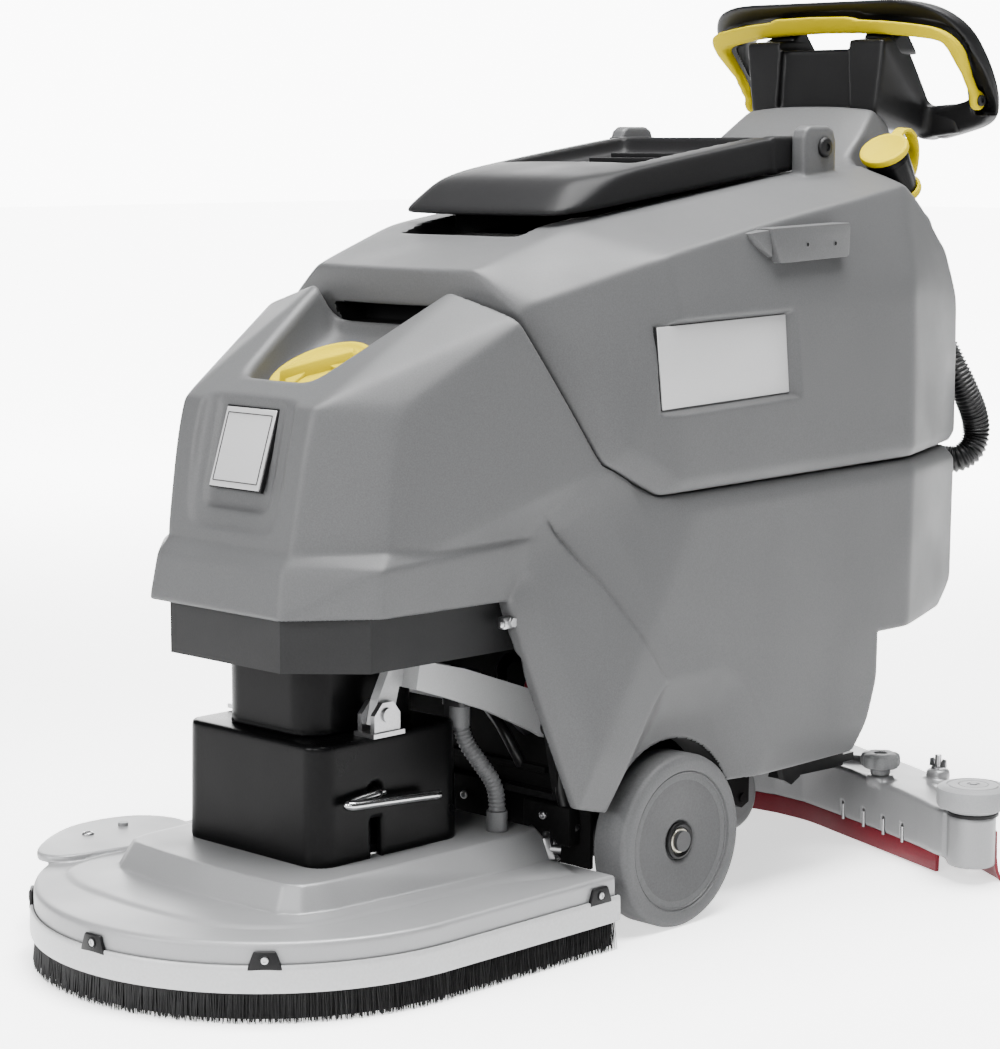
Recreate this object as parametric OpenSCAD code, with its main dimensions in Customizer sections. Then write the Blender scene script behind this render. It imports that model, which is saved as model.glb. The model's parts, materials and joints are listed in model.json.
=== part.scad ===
// Walk-behind floor scrubber: a disc-brush deck under a hinged arm, a fresh
// water body with drive wheels and batteries, a tilting dirty water tank with
// a hinged lid and the handle console, and a V-shaped squeegee behind.
// +Z is up, the front of the machine faces -Y, its left side faces +X.
// The drawing works in distances from the skirt front; frame() shifts them so
// that the origin is under the middle of the machine on the floor.

/* [Overall] */
// Length from the front of the skirt to the rear of the handle
overall_l = 1345; // [1345:1:1350]
// Half width of the body sides
body_half_w = 264; // [260:1:266]

/* [Deck] */
// Radius of the skirt band at the front of the deck
skirt_r = 272.5; // [272.5:0.5:273]
// Radius of the scrubbing pad
pad_r = 250; // [230:1:252]
// Height of the pad under its driver
pad_t = 22; // [18:1:24]

/* [Wheels] */
// Radius of the drive wheels
wheel_r = 100; // [98:1:100]
// Width of the drive wheels
wheel_w = 50; // [44:1:50]
// Radius of the stub axles
axle_r = 12; // [10:0.5:13]
// Running clearance of shafts in their bores, on the radius
run = 0.06; // [0.03:0.01:0.09]

/* [Squeegee] */
// Radius of the wall rollers at the squeegee ends
roller_r = 44; // [40:1:44]

/* [Hidden] */
$fn = 64;
eps = 0.01;
wheel_s = 651;
wheel_x = 212;
deck_s = 272.5;
lift_p = [560, 228];
clevis_q = [327, 273];
tank_h = [1236, 500];
lid_h = [1022, 880];
bar_h = [1303, 939];
sq_h = [985, 108];
noz_s = 1192;
roll_c = [382, 1046];
cap_c = [340, 640];
cap_tilt = 25.5;
lever_h = [313, 190];
cast_s = 1000;
cast_w = 1040;
cast_r = 45;
ear_c = [-272, 268];
hose_od = 36;
// Route of the drain hose, from its end piece down the rear to the outlet
drain_route = [[159,1180,812],[157,1192,796],[150,1215,788],[140,1243,778],[131,1262,755],[128,1270,720],
  [132,1273,685],[146,1274,652],[163,1276,622],[177,1282,593],[184,1296,563],[186,1311,536],[185,1318,511],
  [182,1312,490],[173,1300,479],[158,1293,476],[138,1294,476],[114,1300,480],[90,1308,492],[70,1308,516],
  [61,1298,540],[60,1282,551],[60,1262.3,552]];
// Route of the suction hose, from the squeegee nozzle up into the overhang
suction_od = 44;
suction_route = [[0,1192,150.4],[0,1192,166],[12,1196,186],[34,1202,206],[58,1202,232],[74,1192,258],[80,1180,282],[80,1178,302]];
// Route of the rinse water hose, from the valve down to the deck
rinse_od = 20;
rinse_route = [[96,458,262],[96,458,246],[102,463,220],[113,474,196],[122,486,172],[124,490,150],[124,490,117.3]];

function mir(P) = concat(P, [for (p = P) [-p[0], p[1], p[2]]]);
function vsub(a, b) = [for (i = [0:2]) a[i] - b[i]];
function unit(v) = v / norm(v);
function tang(R, i) = unit(vsub(R[min(i + 1, len(R) - 1)], R[max(i - 1, 0)]));
function side(t) = unit(cross(t, abs(t[0]) < 0.9 ? [1, 0, 0] : [0, 1, 0]));

// Convex solid through a list of corners
module corners(P) { hull() polyhedron(points = P, faces = [[for (i = [0:len(P) - 1]) i]]); }
// Shifts the drawing so that the origin is in the middle of the length
module frame() { translate([0, -overall_l / 2, 0]) children(); }
// Both sides of the machine
module sides() { children(); mirror([1, 0, 0]) children(); }
// Round bar along X
module xrod(x0, x1, s, z, r) { translate([x0, s, z]) rotate([0, 90, 0]) cylinder(r = r, h = x1 - x0); }
// Plate drawn in the S-Z plane, from x0 to x1
module xplate(x0, x1, P) { translate([x0, 0, 0]) rotate([90, 0, 90]) linear_extrude(x1 - x0) polygon(P); }
// Plate drawn in the X-Z plane, from s0 to s1
module splate(s0, s1, P) { translate([0, s1, 0]) rotate([90, 0, 0]) linear_extrude(s1 - s0) polygon(P); }
// Upright block with round corners
module rblock(x0, x1, s0, s1, z0, z1, r) {
  translate([0, 0, z0]) linear_extrude(z1 - z0) union() {
    translate([x0 + r, s0]) square([x1 - x0 - 2 * r, s1 - s0]);
    translate([x0, s0 + r]) square([x1 - x0, s1 - s0 - 2 * r]);
    for (x = [x0 + r, x1 - r], s = [s0 + r, s1 - r]) translate([x, s]) circle(r);
  }
}
// Plan of the deck: a half circle in front and straight sides behind
module deck_plan(r, rear) {
  polygon(concat([for (i = [0:48]) let (a = 180 + i * 180 / 48) [r * cos(a), deck_s + r * sin(a)]], [[r, rear], [-r, rear]]));
}
// Tube swept along a route, closed at both ends
module sweep(R, d, n = 10) {
  m = len(R);
  P = [for (i = [0:m - 1]) let (t = tang(R, i), u = side(t), v = cross(t, u))
    for (k = [0:n - 1]) R[i] + (d / 2) * (cos(360 * k / n) * u + sin(360 * k / n) * v)];
  F = concat([[for (k = [n - 1:-1:0]) k]],
    [for (i = [0:m - 2], k = [0:n - 1]) [i * n + k, i * n + (k + 1) % n, (i + 1) * n + (k + 1) % n, (i + 1) * n + k]],
    [[for (k = [0:n - 1]) (m - 1) * n + k]]);
  polyhedron(points = P, faces = F);
}

// ---------------------------------------------------------------- chassis
nose_rim = [[107,183,391],[176,268,391],[186,447,391],[190,600,391],[103,192,443],[181,262,443],[190,447,443],[196,600,443]];
nose_top = [[102,205,458],[171,280,458],[104,198,443],[178,268,443],[200,495,462],[205,560,443],[107,225,573],[107,236,611],
  [165,300,597],[165,308,611],[80,268,630],[114,428,720],[198,436,697],[206,440,690],[232,536,530],[228,560,516],[210,560,462]];
mid_body = [[202,495,462],[210,470,381],[262,504,215],[250,487,163],[252,540,149],[body_half_w,622,287],[230,562,516],
  [250,618,490],[250,642,490],[body_half_w,800,187],[252,800,149],[254,975,149],[body_half_w,990,187],[body_half_w,1008,240],[body_half_w,1010,296],
  [body_half_w,760,490],[body_half_w,1010,494],[185,447,389],[185,462,351],[205,477,283]];
rear_body = [[body_half_w,940,296],[body_half_w,1070,296],[203,1216,296],[203,1243,330],[body_half_w,940,492],[body_half_w,1078,496],[203,1245,498]];

module lower_shell() color([0.45, 0.46, 0.47]) frame() difference() {
  union() {
    corners(mir(nose_rim));
    corners(mir(nose_top));
    corners(mir(mid_body));
    corners(mir(rear_body));
  }
  // room for the tank along the seam
  xplate(-300, 300, [[444.5,703],[542.6,535.6],[617.3,495.6],[650,496.5],[1072,503],[1270,506],[1270,900],[444.5,900]]);
  // machine bay, open below
  translate([-192, 420, 90]) cube([384, 350, 242]);
  // inside of the legs
  corners(mir([[165,410,391],[195,410,283],[238,410,163],[242,410,90],[165,545,391],[195,545,283],[238,545,163],[242,545,90]]));
  // seat of the band on the leg
  translate([-168, 420, 325]) cube([336, 56, 66]);
  // motor bay in the nose
  translate([0, 0, 330]) linear_extrude(124) polygon([[-84,216],[84,216],[140,286],[148,330],[148,546],[-148,546],[-148,330],[-140,286]]);
  // wheel wells
  sides() xrod(186, 300, wheel_s, wheel_r, wheel_r + 15);
  // battery bay, open above
  translate([-216, 786, 206]) cube([432, 196, 330]);
  translate([-200, 981, 330]) cube([400, 150, 200]);
  // fresh water inside the nose and above the machine bay
  corners(mir([[94,224,472],[158,290,472],[190,480,476],[200,570,476],[98,240,575],[150,305,580],[180,450,585],[185,500,580],[200,545,525],[200,570,500]]));
  xplate(-185, 185, [[556,350],[775,350],[775,472],[640,470],[556,500]]);
  // room for the tank hinge
  translate([-90, 1206, 470]) cube([180, 60, 60]);
  // well around the filler cap
  corners(mir([[68,280,606],[72,286,800],[96,440,800],[96,440,600],[70,400,655],[68,290,598]]));
  // socket of the filler neck
  translate([0, cap_c[0], cap_c[1]]) rotate([cap_tilt, 0, 0]) translate([0, 0, -75]) cylinder(r = 48, h = 130);
  // seat of the nose plate
  xplate(-44, 44, [[200,514],[214.5,512],[242.5,608],[226,614]]);
  // suction hose socket
  translate([80, 1178, 290]) cylinder(r = 23, h = 30);
}
module front_band() color([0.22, 0.22, 0.23]) frame() translate([0, 0, 332]) linear_extrude(58.6) 
  polygon([[-91,199],[91,199],[161,264],[165,474],[143,474],[140,274],[83,218],[-83,218],[-140,274],[-143,474],[-165,474],[-161,264]]);
module chassis_frame() color([0.1, 0.1, 0.1]) frame() {
  difference() {
    union() {
      translate([-150, 566, 141]) cube([300, 436, 7.7]);
      // lift arm brackets
      sides() xplate(140, 150, [[566,141],[620,141],[600,250],[543,250]]);
      // squeegee ears
      sides() xplate(144, 152, [[955,141],[1002,141],[1002,100],[985,92],[970,100]]);
      // caster plate
      rblock(-55, 55, 945, 1055, 134, 141.2, 8);
      sides() translate([140, 940, 141]) cube([20, 62, 7.7]);
    }
    // king pin hole
    translate([0, cast_s, 120]) cylinder(r = 9, h = 40);
  }
  sides() xrod(121, 141, lift_p[0], lift_p[1], 10);
  sides() xrod(122, 145, sq_h[0], sq_h[1], 7);
}
module batteries() color([0.14, 0.14, 0.15]) frame() {
  for (x = [-212, 3]) {
    rblock(x, x + 209, 790, 978, 207, 470, 6);
    for (s = [815, 950]) translate([x + 40, s, 469]) cylinder(r = 9, h = 14);
  }
  for (x = [-196, 2]) rblock(x, x + 194, 986, 1127, 331, 474, 6);
}
module transaxle() color([0.16, 0.16, 0.17]) frame() {
  xrod(-140, 140, wheel_s, wheel_r, 40);
  rblock(-70, 70, 590, 720, 60, 140.6, 18);
  sides() xrod(139, 263, wheel_s, wheel_r, axle_r);
  sides() xrod(139, 205, wheel_s, wheel_r, 30);
}
module filler_neck() color([0.12, 0.12, 0.12]) frame()
  translate([0, cap_c[0], cap_c[1]]) rotate([cap_tilt, 0, 0]) difference() {
    union() { translate([0, 0, -70]) cylinder(r = 47.6, h = 62); translate([0, 0, -14]) cylinder(r = 52, h = 6); }
    translate([0, 0, -64]) cylinder(r = 42, h = 80);
  }
module nose_plate() color([0.85, 0.85, 0.86]) frame()
  corners(mir([[41.7,206.5,519],[41.7,209.2,518],[41.7,237.3,605.4],[41.7,240,604.4]]));
module tank_hinge_pin() color([0.7, 0.7, 0.72]) frame() {
  xrod(-85, 85, tank_h[0], tank_h[1], 6);
  for (x = [-85, 70]) xplate(x, x + 15, [[1206.3,471],[1240,471],[1244,490],[1246,508],[1226,508],[1206.3,488]]);
}
module suction_hose() color([0.72, 0.73, 0.74]) frame() sweep(suction_route, suction_od, 12);

// ---------------------------------------------------------------- tank
tank_front = [[0,441,750],[0,443,709],[96,446,709],[127,450,748],[122,449,731],[222,452,711],[214,446,702],[245,556,548],[238,544,537],
  [260,618,509],[254,618,497],[140,583,792],[247,635,762],[body_half_w,650,512],[258,650,499]];
tank_main = [[254,618,497],[260,618,509],[body_half_w,640,512],[258,640,499],[body_half_w,1078,518],[258,1072,505],[203,1245,520],[198,1240,508],
  [262,640,690],[262,1074,712],[203,1245,690],[200,1213,770],[180,1165,828],[247,635,762],[240,800,792],[228,1000,820],[214,1112,836],
  [140,583,792],[152,1000,851],[150,1110,858],[150,1150,845],[222,470,706],[130,460,748]];
tank_neck = [[112,1196,928],[92,1238,912],[126,1120,858],[150,1240,800],[120,1244,700],[150,1090,850],[60,1190,934],[60,1238,914]];
module upper_tank() color([0.45, 0.46, 0.47]) frame() difference() {
  union() {
    difference() {
      union() {
        corners(mir(tank_front));
        corners(mir(tank_main));
        corners(mir(tank_neck));
      }
      // inside of the tank
      corners(mir([[180,600,570],[228,690,522],[228,1060,527],[176,1196,532],[176,1196,690],[190,640,735],
        [200,1040,796],[160,1140,796],[120,620,770],[128,1040,838],[118,1130,830]]));
      // mouth under the lid
      translate([-108, 640, 720]) cube([216, 320, 240]);
      // finger recess under the lid lip
      xplate(-60, 60, [[556,790],[600,780],[600,830],[556,830]]);
      // seats of the side plates
      sides() xplate(258, 290, [[600,692],[844,697],[854,594],[610,584]]);
      // bevelled seat of the drain hose end on the rear corner
      end_dir() translate([0, 0, -6]) cylinder(r = 31.5, h = 100);
      corners([[120,1150,900],[230,1150,900],[230,1260,800],[120,1260,800],[120,1200,760],[230,1200,760],[120,1110,880],[230,1110,880],[120,1110,900],[230,1110,900]]);
    }
    // lid bosses
    sides() xplate(140, 166, [[1000,850],[1046,850],[1046,878],[1036,902],[1010,902],[1000,890]]);
    // grips on the sides
    sides() xplate(226, 263, [[792,785],[938,790],[936,757],[814,750]]);
    // hinge lug
    xplate(-60, 60, [[1224,503],[1226,493],[1236,488],[1244,492],[1245,530],[1224,530]]);
    // drain outlet
    translate([60, 1230, 552]) rotate([-90, 0, 0]) cylinder(r = 20, h = 32);
  }
  xrod(-400, 400, lid_h[0], lid_h[1], 6.5);
  xrod(-61, 61, tank_h[0], tank_h[1], 6 + run);
  sides() translate([0, 0, 0]) xrod(60, 100, tank_h[0], tank_h[1], 16);
}
module console_housing() color([0.1, 0.1, 0.1]) frame() difference() {
  corners(mir([[102,1200,926],[112,1200,1008],[84,1212,908],[95,1281,1010],[100,1322,936],[100,1332,892],[90,1334,900]]));
  // seat on the neck of the tank
  translate([0, 0, 0.3]) corners(mir(tank_neck));
  // recess in the front and slot between the console and the rim above it
  translate([-57, 1190, 932]) cube([114, 21, 71]);
  translate([-57, 1190, 1006]) cube([114, 140, 40]);
  // pocket for the panel
  panel_dir() corners(mir([[80,1318,935],[80,1348,935],[88,1318,995],[88,1348,995]]));
}
// The panel lies on the sloping back of the console
module panel_dir() { translate([0, 1307, 960]) rotate([29, 0, 0]) translate([0, -1331, -965]) children(); }
// The handle leans forward about the line through the pivots of its bar
module lean() { translate([0, bar_h[0], bar_h[1]]) rotate([36, 0, 0]) translate([0, -bar_h[0], -bar_h[1]]) children(); }
rim_out = [[0,1077.25],[107,1077.25],[150,1072],[178,1062],[196,1040],[203,1002],[206,950],[202,922],[190,909],[166,903.5],[118,903],[60,903]];
rim_in = [[0,1046],[108,1046],[146,1036],[168,1010],[176,972],[176,946],[168,938],[122,934],[100,933],[60,933]];
module rim_ring(s0, s1) difference() {
  splate(s0, s1, concat(rim_out, [for (i = [len(rim_out) - 1:-1:0]) [-rim_out[i][0], rim_out[i][1]]]));
  translate([0, 0, 0]) splate(s0 - 1, s1 + 1, concat(rim_in, [for (i = [len(rim_in) - 1:-1:0]) [-rim_in[i][0], rim_in[i][1]]]));
}
module handle_rim() color([0.09, 0.09, 0.09]) frame() lean() difference() {
  union() {
    difference() { rim_ring(1312, 1328.76); translate([-112, 1300, 880]) cube([224, 100, 60]); }
    sides() xplate(176, 196, [[1296.5,930],[1313,920],[1327,925],[1327,960],[1313,960],[1296.5,950]]);
    sides() splate(1312, 1328, [[92,905],[124,905],[124,932],[94,932]]);
    sides() splate(1316, 1328, [[60,1006],[96,1006],[100,1050],[60,1050]]);
  }
  xrod(-250, 250, bar_h[0], bar_h[1], 4);
  sides() xrod(180, 190.3, bar_h[0], bar_h[1], 17);
  sides() translate([180, 1280, 930]) cube([10.3, 32.5, 60]);
}
module side_plates() color([0.85, 0.85, 0.86]) frame()
  sides() xplate(258.1, 261, [[608,683],[830,689],[839,600],[617,594]]);
module lid_bolts() color([0.08, 0.08, 0.08]) frame() sides() {
  xrod(118, 170, lid_h[0], lid_h[1], 6.4);
  xrod(166.2, 172, lid_h[0], lid_h[1], 11);
}
module vacuum_turbine() color([0.2, 0.2, 0.2]) frame() {
  translate([0, 1090, 640]) cylinder(r = 70, h = 120);
  translate([0, 1090, 759]) cylinder(r = 40, h = 60);
  translate([-20, 1090, 600]) cube([40, 105.9, 41]);
}
module control_panel() color([0.2, 0.2, 0.21]) frame() panel_dir() difference() {
  corners(mir([[79,1319,937],[79,1331,937],[87,1319,993],[87,1331,993]]));
  for (x = [-62, 0, 62]) translate([x, 1310, 965]) rotate([-90, 0, 0]) cylinder(r = 10 + run, h = 40);
}
module console_screws() color([0.3, 0.3, 0.3]) frame() {
  sides() xrod(176.2, 196.2, bar_h[0], bar_h[1], 3.9);
}
cap_n = unit([0.1, -0.6, 0.79]);
cap_b = [159, 1180, 812];
// Turns +Z to the direction of the drain hose end
module end_dir() { translate(cap_b) rotate([36.9, 0, 0]) rotate([0, 6, 0]) children(); }
module hose_end() color([0.08, 0.08, 0.08]) frame() end_dir() difference() {
  union() { translate([0, 0, 0.05]) cylinder(r = 19, h = 12); translate([0, 0, 10]) cylinder(r = 27, h = 66); }
  translate([0, 0, 24]) cylinder(r = 22, h = 60);
}
module drain_hose() color([0.06, 0.06, 0.06]) frame() sweep(drain_route, hose_od, 10);
module drain_strap() color([0.9, 0.8, 0.05]) frame() end_dir() {
  translate([0, 0, 14]) difference() { cylinder(r = 30, h = 7); translate([0, 0, -1]) cylinder(r = 27, h = 9); }
  translate([-5, 29, 14]) cube([10, 5, 56]);
}
module drain_cap() color([0.9, 0.8, 0.05]) frame() end_dir() {
  difference() {
    union() {
      translate([0, 0, 76.4]) cylinder(r = 31, h = 8);
      translate([0, 0, 72]) cylinder(r = 19, h = 5);
      translate([-5, 20, 78]) cube([10, 19, 4]);
      translate([-5, 34.6, 62]) cube([10, 4.4, 20]);
      translate([-5, 36.8, 62]) rotate([0, 90, 0]) cylinder(r = 2.2, h = 10);
    }
    translate([0, 0, 71]) cylinder(r = 15, h = 4);
  }
}
module lid() color([0.09, 0.09, 0.09]) frame() difference() {
  union() {
    corners(mir([[131,583,801],[131,583,806],[96,655,852],[110,690,864],[134,700,866],[136,958,894],[136,984,890],[136,987,853],[138,620,806]]));
    sides() xplate(118, 135, [[960,852],[1000,862],[1034,872],[1036,884],[1026,893],[1010,893],[960,893]]);
  }
  // tray
  corners(mir([[104,712,846],[104,930,876],[112,712,900],[112,940,930]]));
  // hollow underside
  corners(mir([[112,630,800],[118,960,844],[104,960,856],[100,660,820],[112,630,780],[118,960,800]]));
  xrod(-200, 200, lid_h[0], lid_h[1], 6.4 + run);
}
bar_out = [[0,1086],[50,1084.5],[60,1076],[140,1070],[172,1060],[190,1042],[194,1008],[194,960],[194,936],[188,930],[180,930],[176,938]];
bar_in = [[0,1057],[58,1054],[62,1050],[138,1044],[160,1034],[172,1016],[176,985],[177,960],[176,938]];
module drive_bar() color([0.9, 0.8, 0.05]) frame() lean() difference() {
  union() {
    difference() {
      splate(1281, 1294.5, concat(bar_out, [for (i = [len(bar_out) - 1:-1:0]) [-bar_out[i][0], bar_out[i][1]]]));
      splate(1270, 1310, concat(bar_in, [[176,900]], [[-176,900]], [for (i = [len(bar_in) - 1:-1:0]) [-bar_in[i][0], bar_in[i][1]]]));
    }
    sides() xplate(180.3, 190, [[1281,930],[1303,927],[1312,932],[1314,940],[1310,948],[1294.5,952],[1294.5,975],[1281,975]]);
  }
  xrod(-250, 250, bar_h[0], bar_h[1], 3.9 + run);
}
module filler_cap() color([0.9, 0.8, 0.05]) frame()
  translate([0, cap_c[0], cap_c[1]]) rotate([cap_tilt, 0, 0]) {
    difference() { translate([0, 0, -7.6]) cylinder(r = 61, h = 9.6); translate([0, 0, -9]) cylinder(r = 54, h = 8); }
    translate([0, 0, -20]) difference() { cylinder(r = 41.6, h = 20); translate([0, 0, -1]) cylinder(r = 36, h = 16); }
    translate([-40, -7, 1]) cube([80, 14, 10]);
  }
module knob_on_panel(x, r, l) translate([x, 1322, 965]) rotate([-90, 0, 0]) { cylinder(r = 10, h = 12); translate([0, 0, 9.4]) cylinder(r = r, h = l); }
module key_switch() color([0.75, 0.75, 0.76]) frame() panel_dir() { knob_on_panel(-62, 13, 3); translate([-64, 1333, 957]) cube([4, 11.5, 16]); }
module water_dial() color([0.1, 0.1, 0.1]) frame() panel_dir() { knob_on_panel(0, 17, 10); translate([-2, 1340, 966]) cube([4, 2.5, 15]); }
module start_button() color([0.9, 0.8, 0.05]) frame() panel_dir() translate([62, 1323, 965]) rotate([-90, 0, 0]) cylinder(r = 10, h = 14);

// ---------------------------------------------------------------- wheels
module wheel() difference() {
  translate([wheel_x, wheel_s, wheel_r]) rotate([90, 0, 90]) rotate_extrude() polygon([[axle_r + run, 0], [wheel_r - 8, 0], [wheel_r, 8],
    [wheel_r, wheel_w - 7], [wheel_r - 7, wheel_w], [82, wheel_w], [79, wheel_w - 4], [26, wheel_w - 4], [26, wheel_w - 6], [axle_r + run, wheel_w - 6]]);
}
module hub() translate([wheel_x + wheel_w - 5.9, wheel_s, wheel_r]) rotate([90, 0, 90]) difference() {
  cylinder(r = 21, h = 8.9);
  translate([0, 0, -1]) cylinder(r = axle_r + run, h = 8.2);
}
module left_wheel() color([0.36, 0.37, 0.38]) frame() wheel();
module right_wheel() color([0.36, 0.37, 0.38]) frame() mirror([1, 0, 0]) wheel();
module left_hub() color([0.7, 0.68, 0.6]) frame() hub();
module right_hub() color([0.7, 0.68, 0.6]) frame() mirror([1, 0, 0]) hub();
module caster_fork() color([0.1, 0.1, 0.1]) frame() {
  translate([0, cast_s, 118]) cylinder(r = 9 - run, h = 28);
  difference() {
    union() {
      corners(mir([[26,975,112],[26,975,122],[26,1050,112],[26,1050,122],[14,962,122],[14,962,112]]));
      translate([0, cast_s, 121]) cylinder(r = 30, h = 12.6);
      sides() xplate(21, 27, [[985,114],[1055,114],[1054,38],[1040,32],[1026,38]]);
    }
  }
  xrod(-30, 30, cast_w, cast_r, 6);
}
module caster_wheel() color([0.72, 0.73, 0.74]) frame() translate([-18, cast_w, cast_r]) rotate([90, 0, 90])
  rotate_extrude() polygon([[6 + run, 0], [38, 0], [cast_r, 7], [cast_r, 29], [38, 36], [6 + run, 36]]);

// ---------------------------------------------------------------- deck
module lift_arm() color([0.75, 0.76, 0.77]) frame() {
  sides() difference() {
    xplate(99, 111, [[314,262],[327,258],[342,264],[352,300],[392,296],[420,288],[420,316],[362,330],[340,326],[320,288]]);
    xrod(90, 120, clevis_q[0], clevis_q[1], 8 + run);
  }
  sides() difference() {
    union() {
      xplate(110.5, 122, [[356,299],[362,330],[420,316],[420,288]]);
      xplate(122, 134, [[356,299],[362,330],[430,312],[547,270],[572,240],[572,222],[560,214],[546,222],[470,258],[400,284]]);
    }
    xrod(110, 140, lift_p[0], lift_p[1], 10 + run);
  }
  xrod(-123, 123, 520, 257, 9);
}
riser_lo = [[0,144,87],[134,153,87],[166,200,87],[188,480,87],[168,540,87]];
riser_hi = [[0,163,117],[126,171,117],[149,205,117],[153,480,117],[138,530,117]];
module deck_plate() color([0.72, 0.73, 0.74]) frame() difference() {
  union() {
    translate([0, 0, 57]) linear_extrude(30.2) deck_plan(268, 532);
    corners(mir(concat(riser_lo, riser_hi)));
    // cover of the side roller
    translate([ear_c[0], ear_c[1], 87]) cylinder(r = 46, h = 7);
    translate([-268, ear_c[1] - 30, 87]) cube([100, 100, 7]);
  }
  difference() {
    translate([0, 0, 50]) linear_extrude(29) deck_plan(256, 520);
    translate([ear_c[0] - 55, ear_c[1] - 55, 40]) cube([70, 110, 60]);
  }
  translate([0, deck_s, 40]) cylinder(r = 62, h = 100);
  // pocket of the side roller
  translate([ear_c[0], ear_c[1], 50]) cylinder(r = 52, h = 37);
  translate([ear_c[0], ear_c[1], 60]) cylinder(r = 6, h = 60);
}
module skirt_band() color([0.66, 0.67, 0.68]) frame() translate([0, 0, 33]) linear_extrude(28) difference() {
  deck_plan(skirt_r, 534);
  deck_plan(268.2, 536);
}
module skirt_bristles() color([0.05, 0.05, 0.05]) frame() linear_extrude(56.8) difference() {
  deck_plan(268, 532);
  deck_plan(258, 536);
}
module skirt_clips() color([0.06, 0.06, 0.06]) frame() {
  for (a = [-40, 4, 46]) translate([0, deck_s, 0]) rotate([0, 0, a]) splate(-272, -268.3, [[-14,61.2],[14,61.2],[8,84],[-8,84]]);
  for (a = [90, -90]) translate([0, 503, 0]) rotate([0, 0, a]) splate(-272, -268.3, [[-14,61.2],[14,61.2],[8,84],[-8,84]]);
}
module motor_box() color([0.07, 0.07, 0.07]) frame() difference() {
  rblock(-113, 113, 232, 446, 117.05, 250, 24);
  translate([0, 0, -10]) rblock(-106, 106, 239, 439, 117, 253, 18);
  xrod(90, 130, lever_h[0], lever_h[1], 11);
  translate([100, 306, 117]) cube([20, 16, 44]);
  translate([0, 335, 200]) cylinder(r = 50, h = 60);
}
module motor_housing() color([0.07, 0.07, 0.07]) frame() difference() {
  rblock(-76, 76, 254, 420, 250.1, 396, 34);
  translate([0, 0, -8]) rblock(-69, 69, 261, 413, 250, 396, 28);
}
module brush_motor() color([0.25, 0.25, 0.26]) frame() difference() {
  union() {
    translate([-96, 247, 117.1]) cube([192, 182, 9]);
    translate([0, deck_s, 120]) cylinder(r = 30, h = 100);
    translate([0, 335, 120]) cylinder(r = 60, h = 70);
    translate([0, 335, 189]) cylinder(r = 44, h = 170);
  }
  translate([0, deck_s, 100]) cylinder(r = 11 + run, h = 60);
}
module clevis_bracket() color([0.78, 0.78, 0.79]) frame() sides() {
  for (x = [92, 112.2]) xplate(x, x + 6.6, [[308,250.1],[346,250.1],[346,274],[336,287],[320,287],[308,274]]);
  translate([90, 304, 250.1]) cube([32, 46, 5]);
  xrod(90, 122, clevis_q[0], clevis_q[1], 8);
}
module water_valve() color([0.4, 0.4, 0.42]) frame() {
  rblock(78, 112, 446.1, 480, 262.2, 300, 6);
  translate([84, 446.1, 230]) cube([10, 8, 34]);
}
module rinse_hose() color([0.36, 0.37, 0.38]) frame() sweep(rinse_route, rinse_od, 10);
module pad_driver() color([0.16, 0.3, 0.5]) frame() difference() {
  union() {
    translate([0, deck_s, pad_t]) cylinder(r = pad_r - 2, h = 18);
    translate([0, deck_s, pad_t + 17]) cylinder(r = 50, h = 34);
    translate([0, deck_s, pad_t + 50]) cylinder(r = 11, h = 60);
  }
  translate([0, deck_s, pad_t - 1]) cylinder(r = 30, h = 12);
}
module scrub_pad() color([0.7, 0.12, 0.1]) frame() translate([0, deck_s, 0]) difference() {
  cylinder(r = pad_r, h = pad_t);
  translate([0, 0, -1]) cylinder(r = 40, h = pad_t + 2);
}
module release_lever() color([0.8, 0.8, 0.81]) frame() {
  xrod(104, 122, lever_h[0], lever_h[1], 5);
  translate([118, 268, lever_h[1] - 5]) cube([6, 48, 10]);
  xrod(118, 136, 268, lever_h[1], 5);
  translate([128, 266, lever_h[1] - 5]) cube([8, 130, 10]);
}
module deck_roller() color([0.75, 0.76, 0.77]) frame() translate([ear_c[0], ear_c[1], 62.2]) {
  difference() { cylinder(r = 50, h = 24); translate([0, 0, -1]) cylinder(r = 20, h = 21); }
  translate([0, 0, 23]) cylinder(r = 6 - run, h = 12);
}

// ---------------------------------------------------------------- squeegee
module squeegee_arm() color([0.08, 0.08, 0.08]) frame() difference() {
  union() {
    sides() xplate(125, 141, [[972,100],[985,94],[1000,98],[1075,96],[1104,96],[1104,112],[1000,120],[978,118]]);
    translate([-141, 1096, 100]) cube([282, 30, 10]);
    translate([-60, 1120, 100]) cube([120, 50, 10]);
    translate([0, noz_s, 100]) cylinder(r = 50, h = 10);
  }
  sides() xrod(120, 150, sq_h[0], sq_h[1], 7 + run);
  translate([0, noz_s, 90]) cylinder(r = 26 + run, h = 30);
}
sq_plan_f = [[0,1142],[50,1136],[296,1052],[352,1030]];
sq_plan_r = [[352,1078],[340,1098],[252,1166],[110,1216],[60,1236],[0,1240]];
// Closed outline from its right half, which starts and ends on the centre line
function both(P) = concat(P, [for (i = [len(P) - 2:-1:1]) [-P[i][0], P[i][1]]]);
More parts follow.
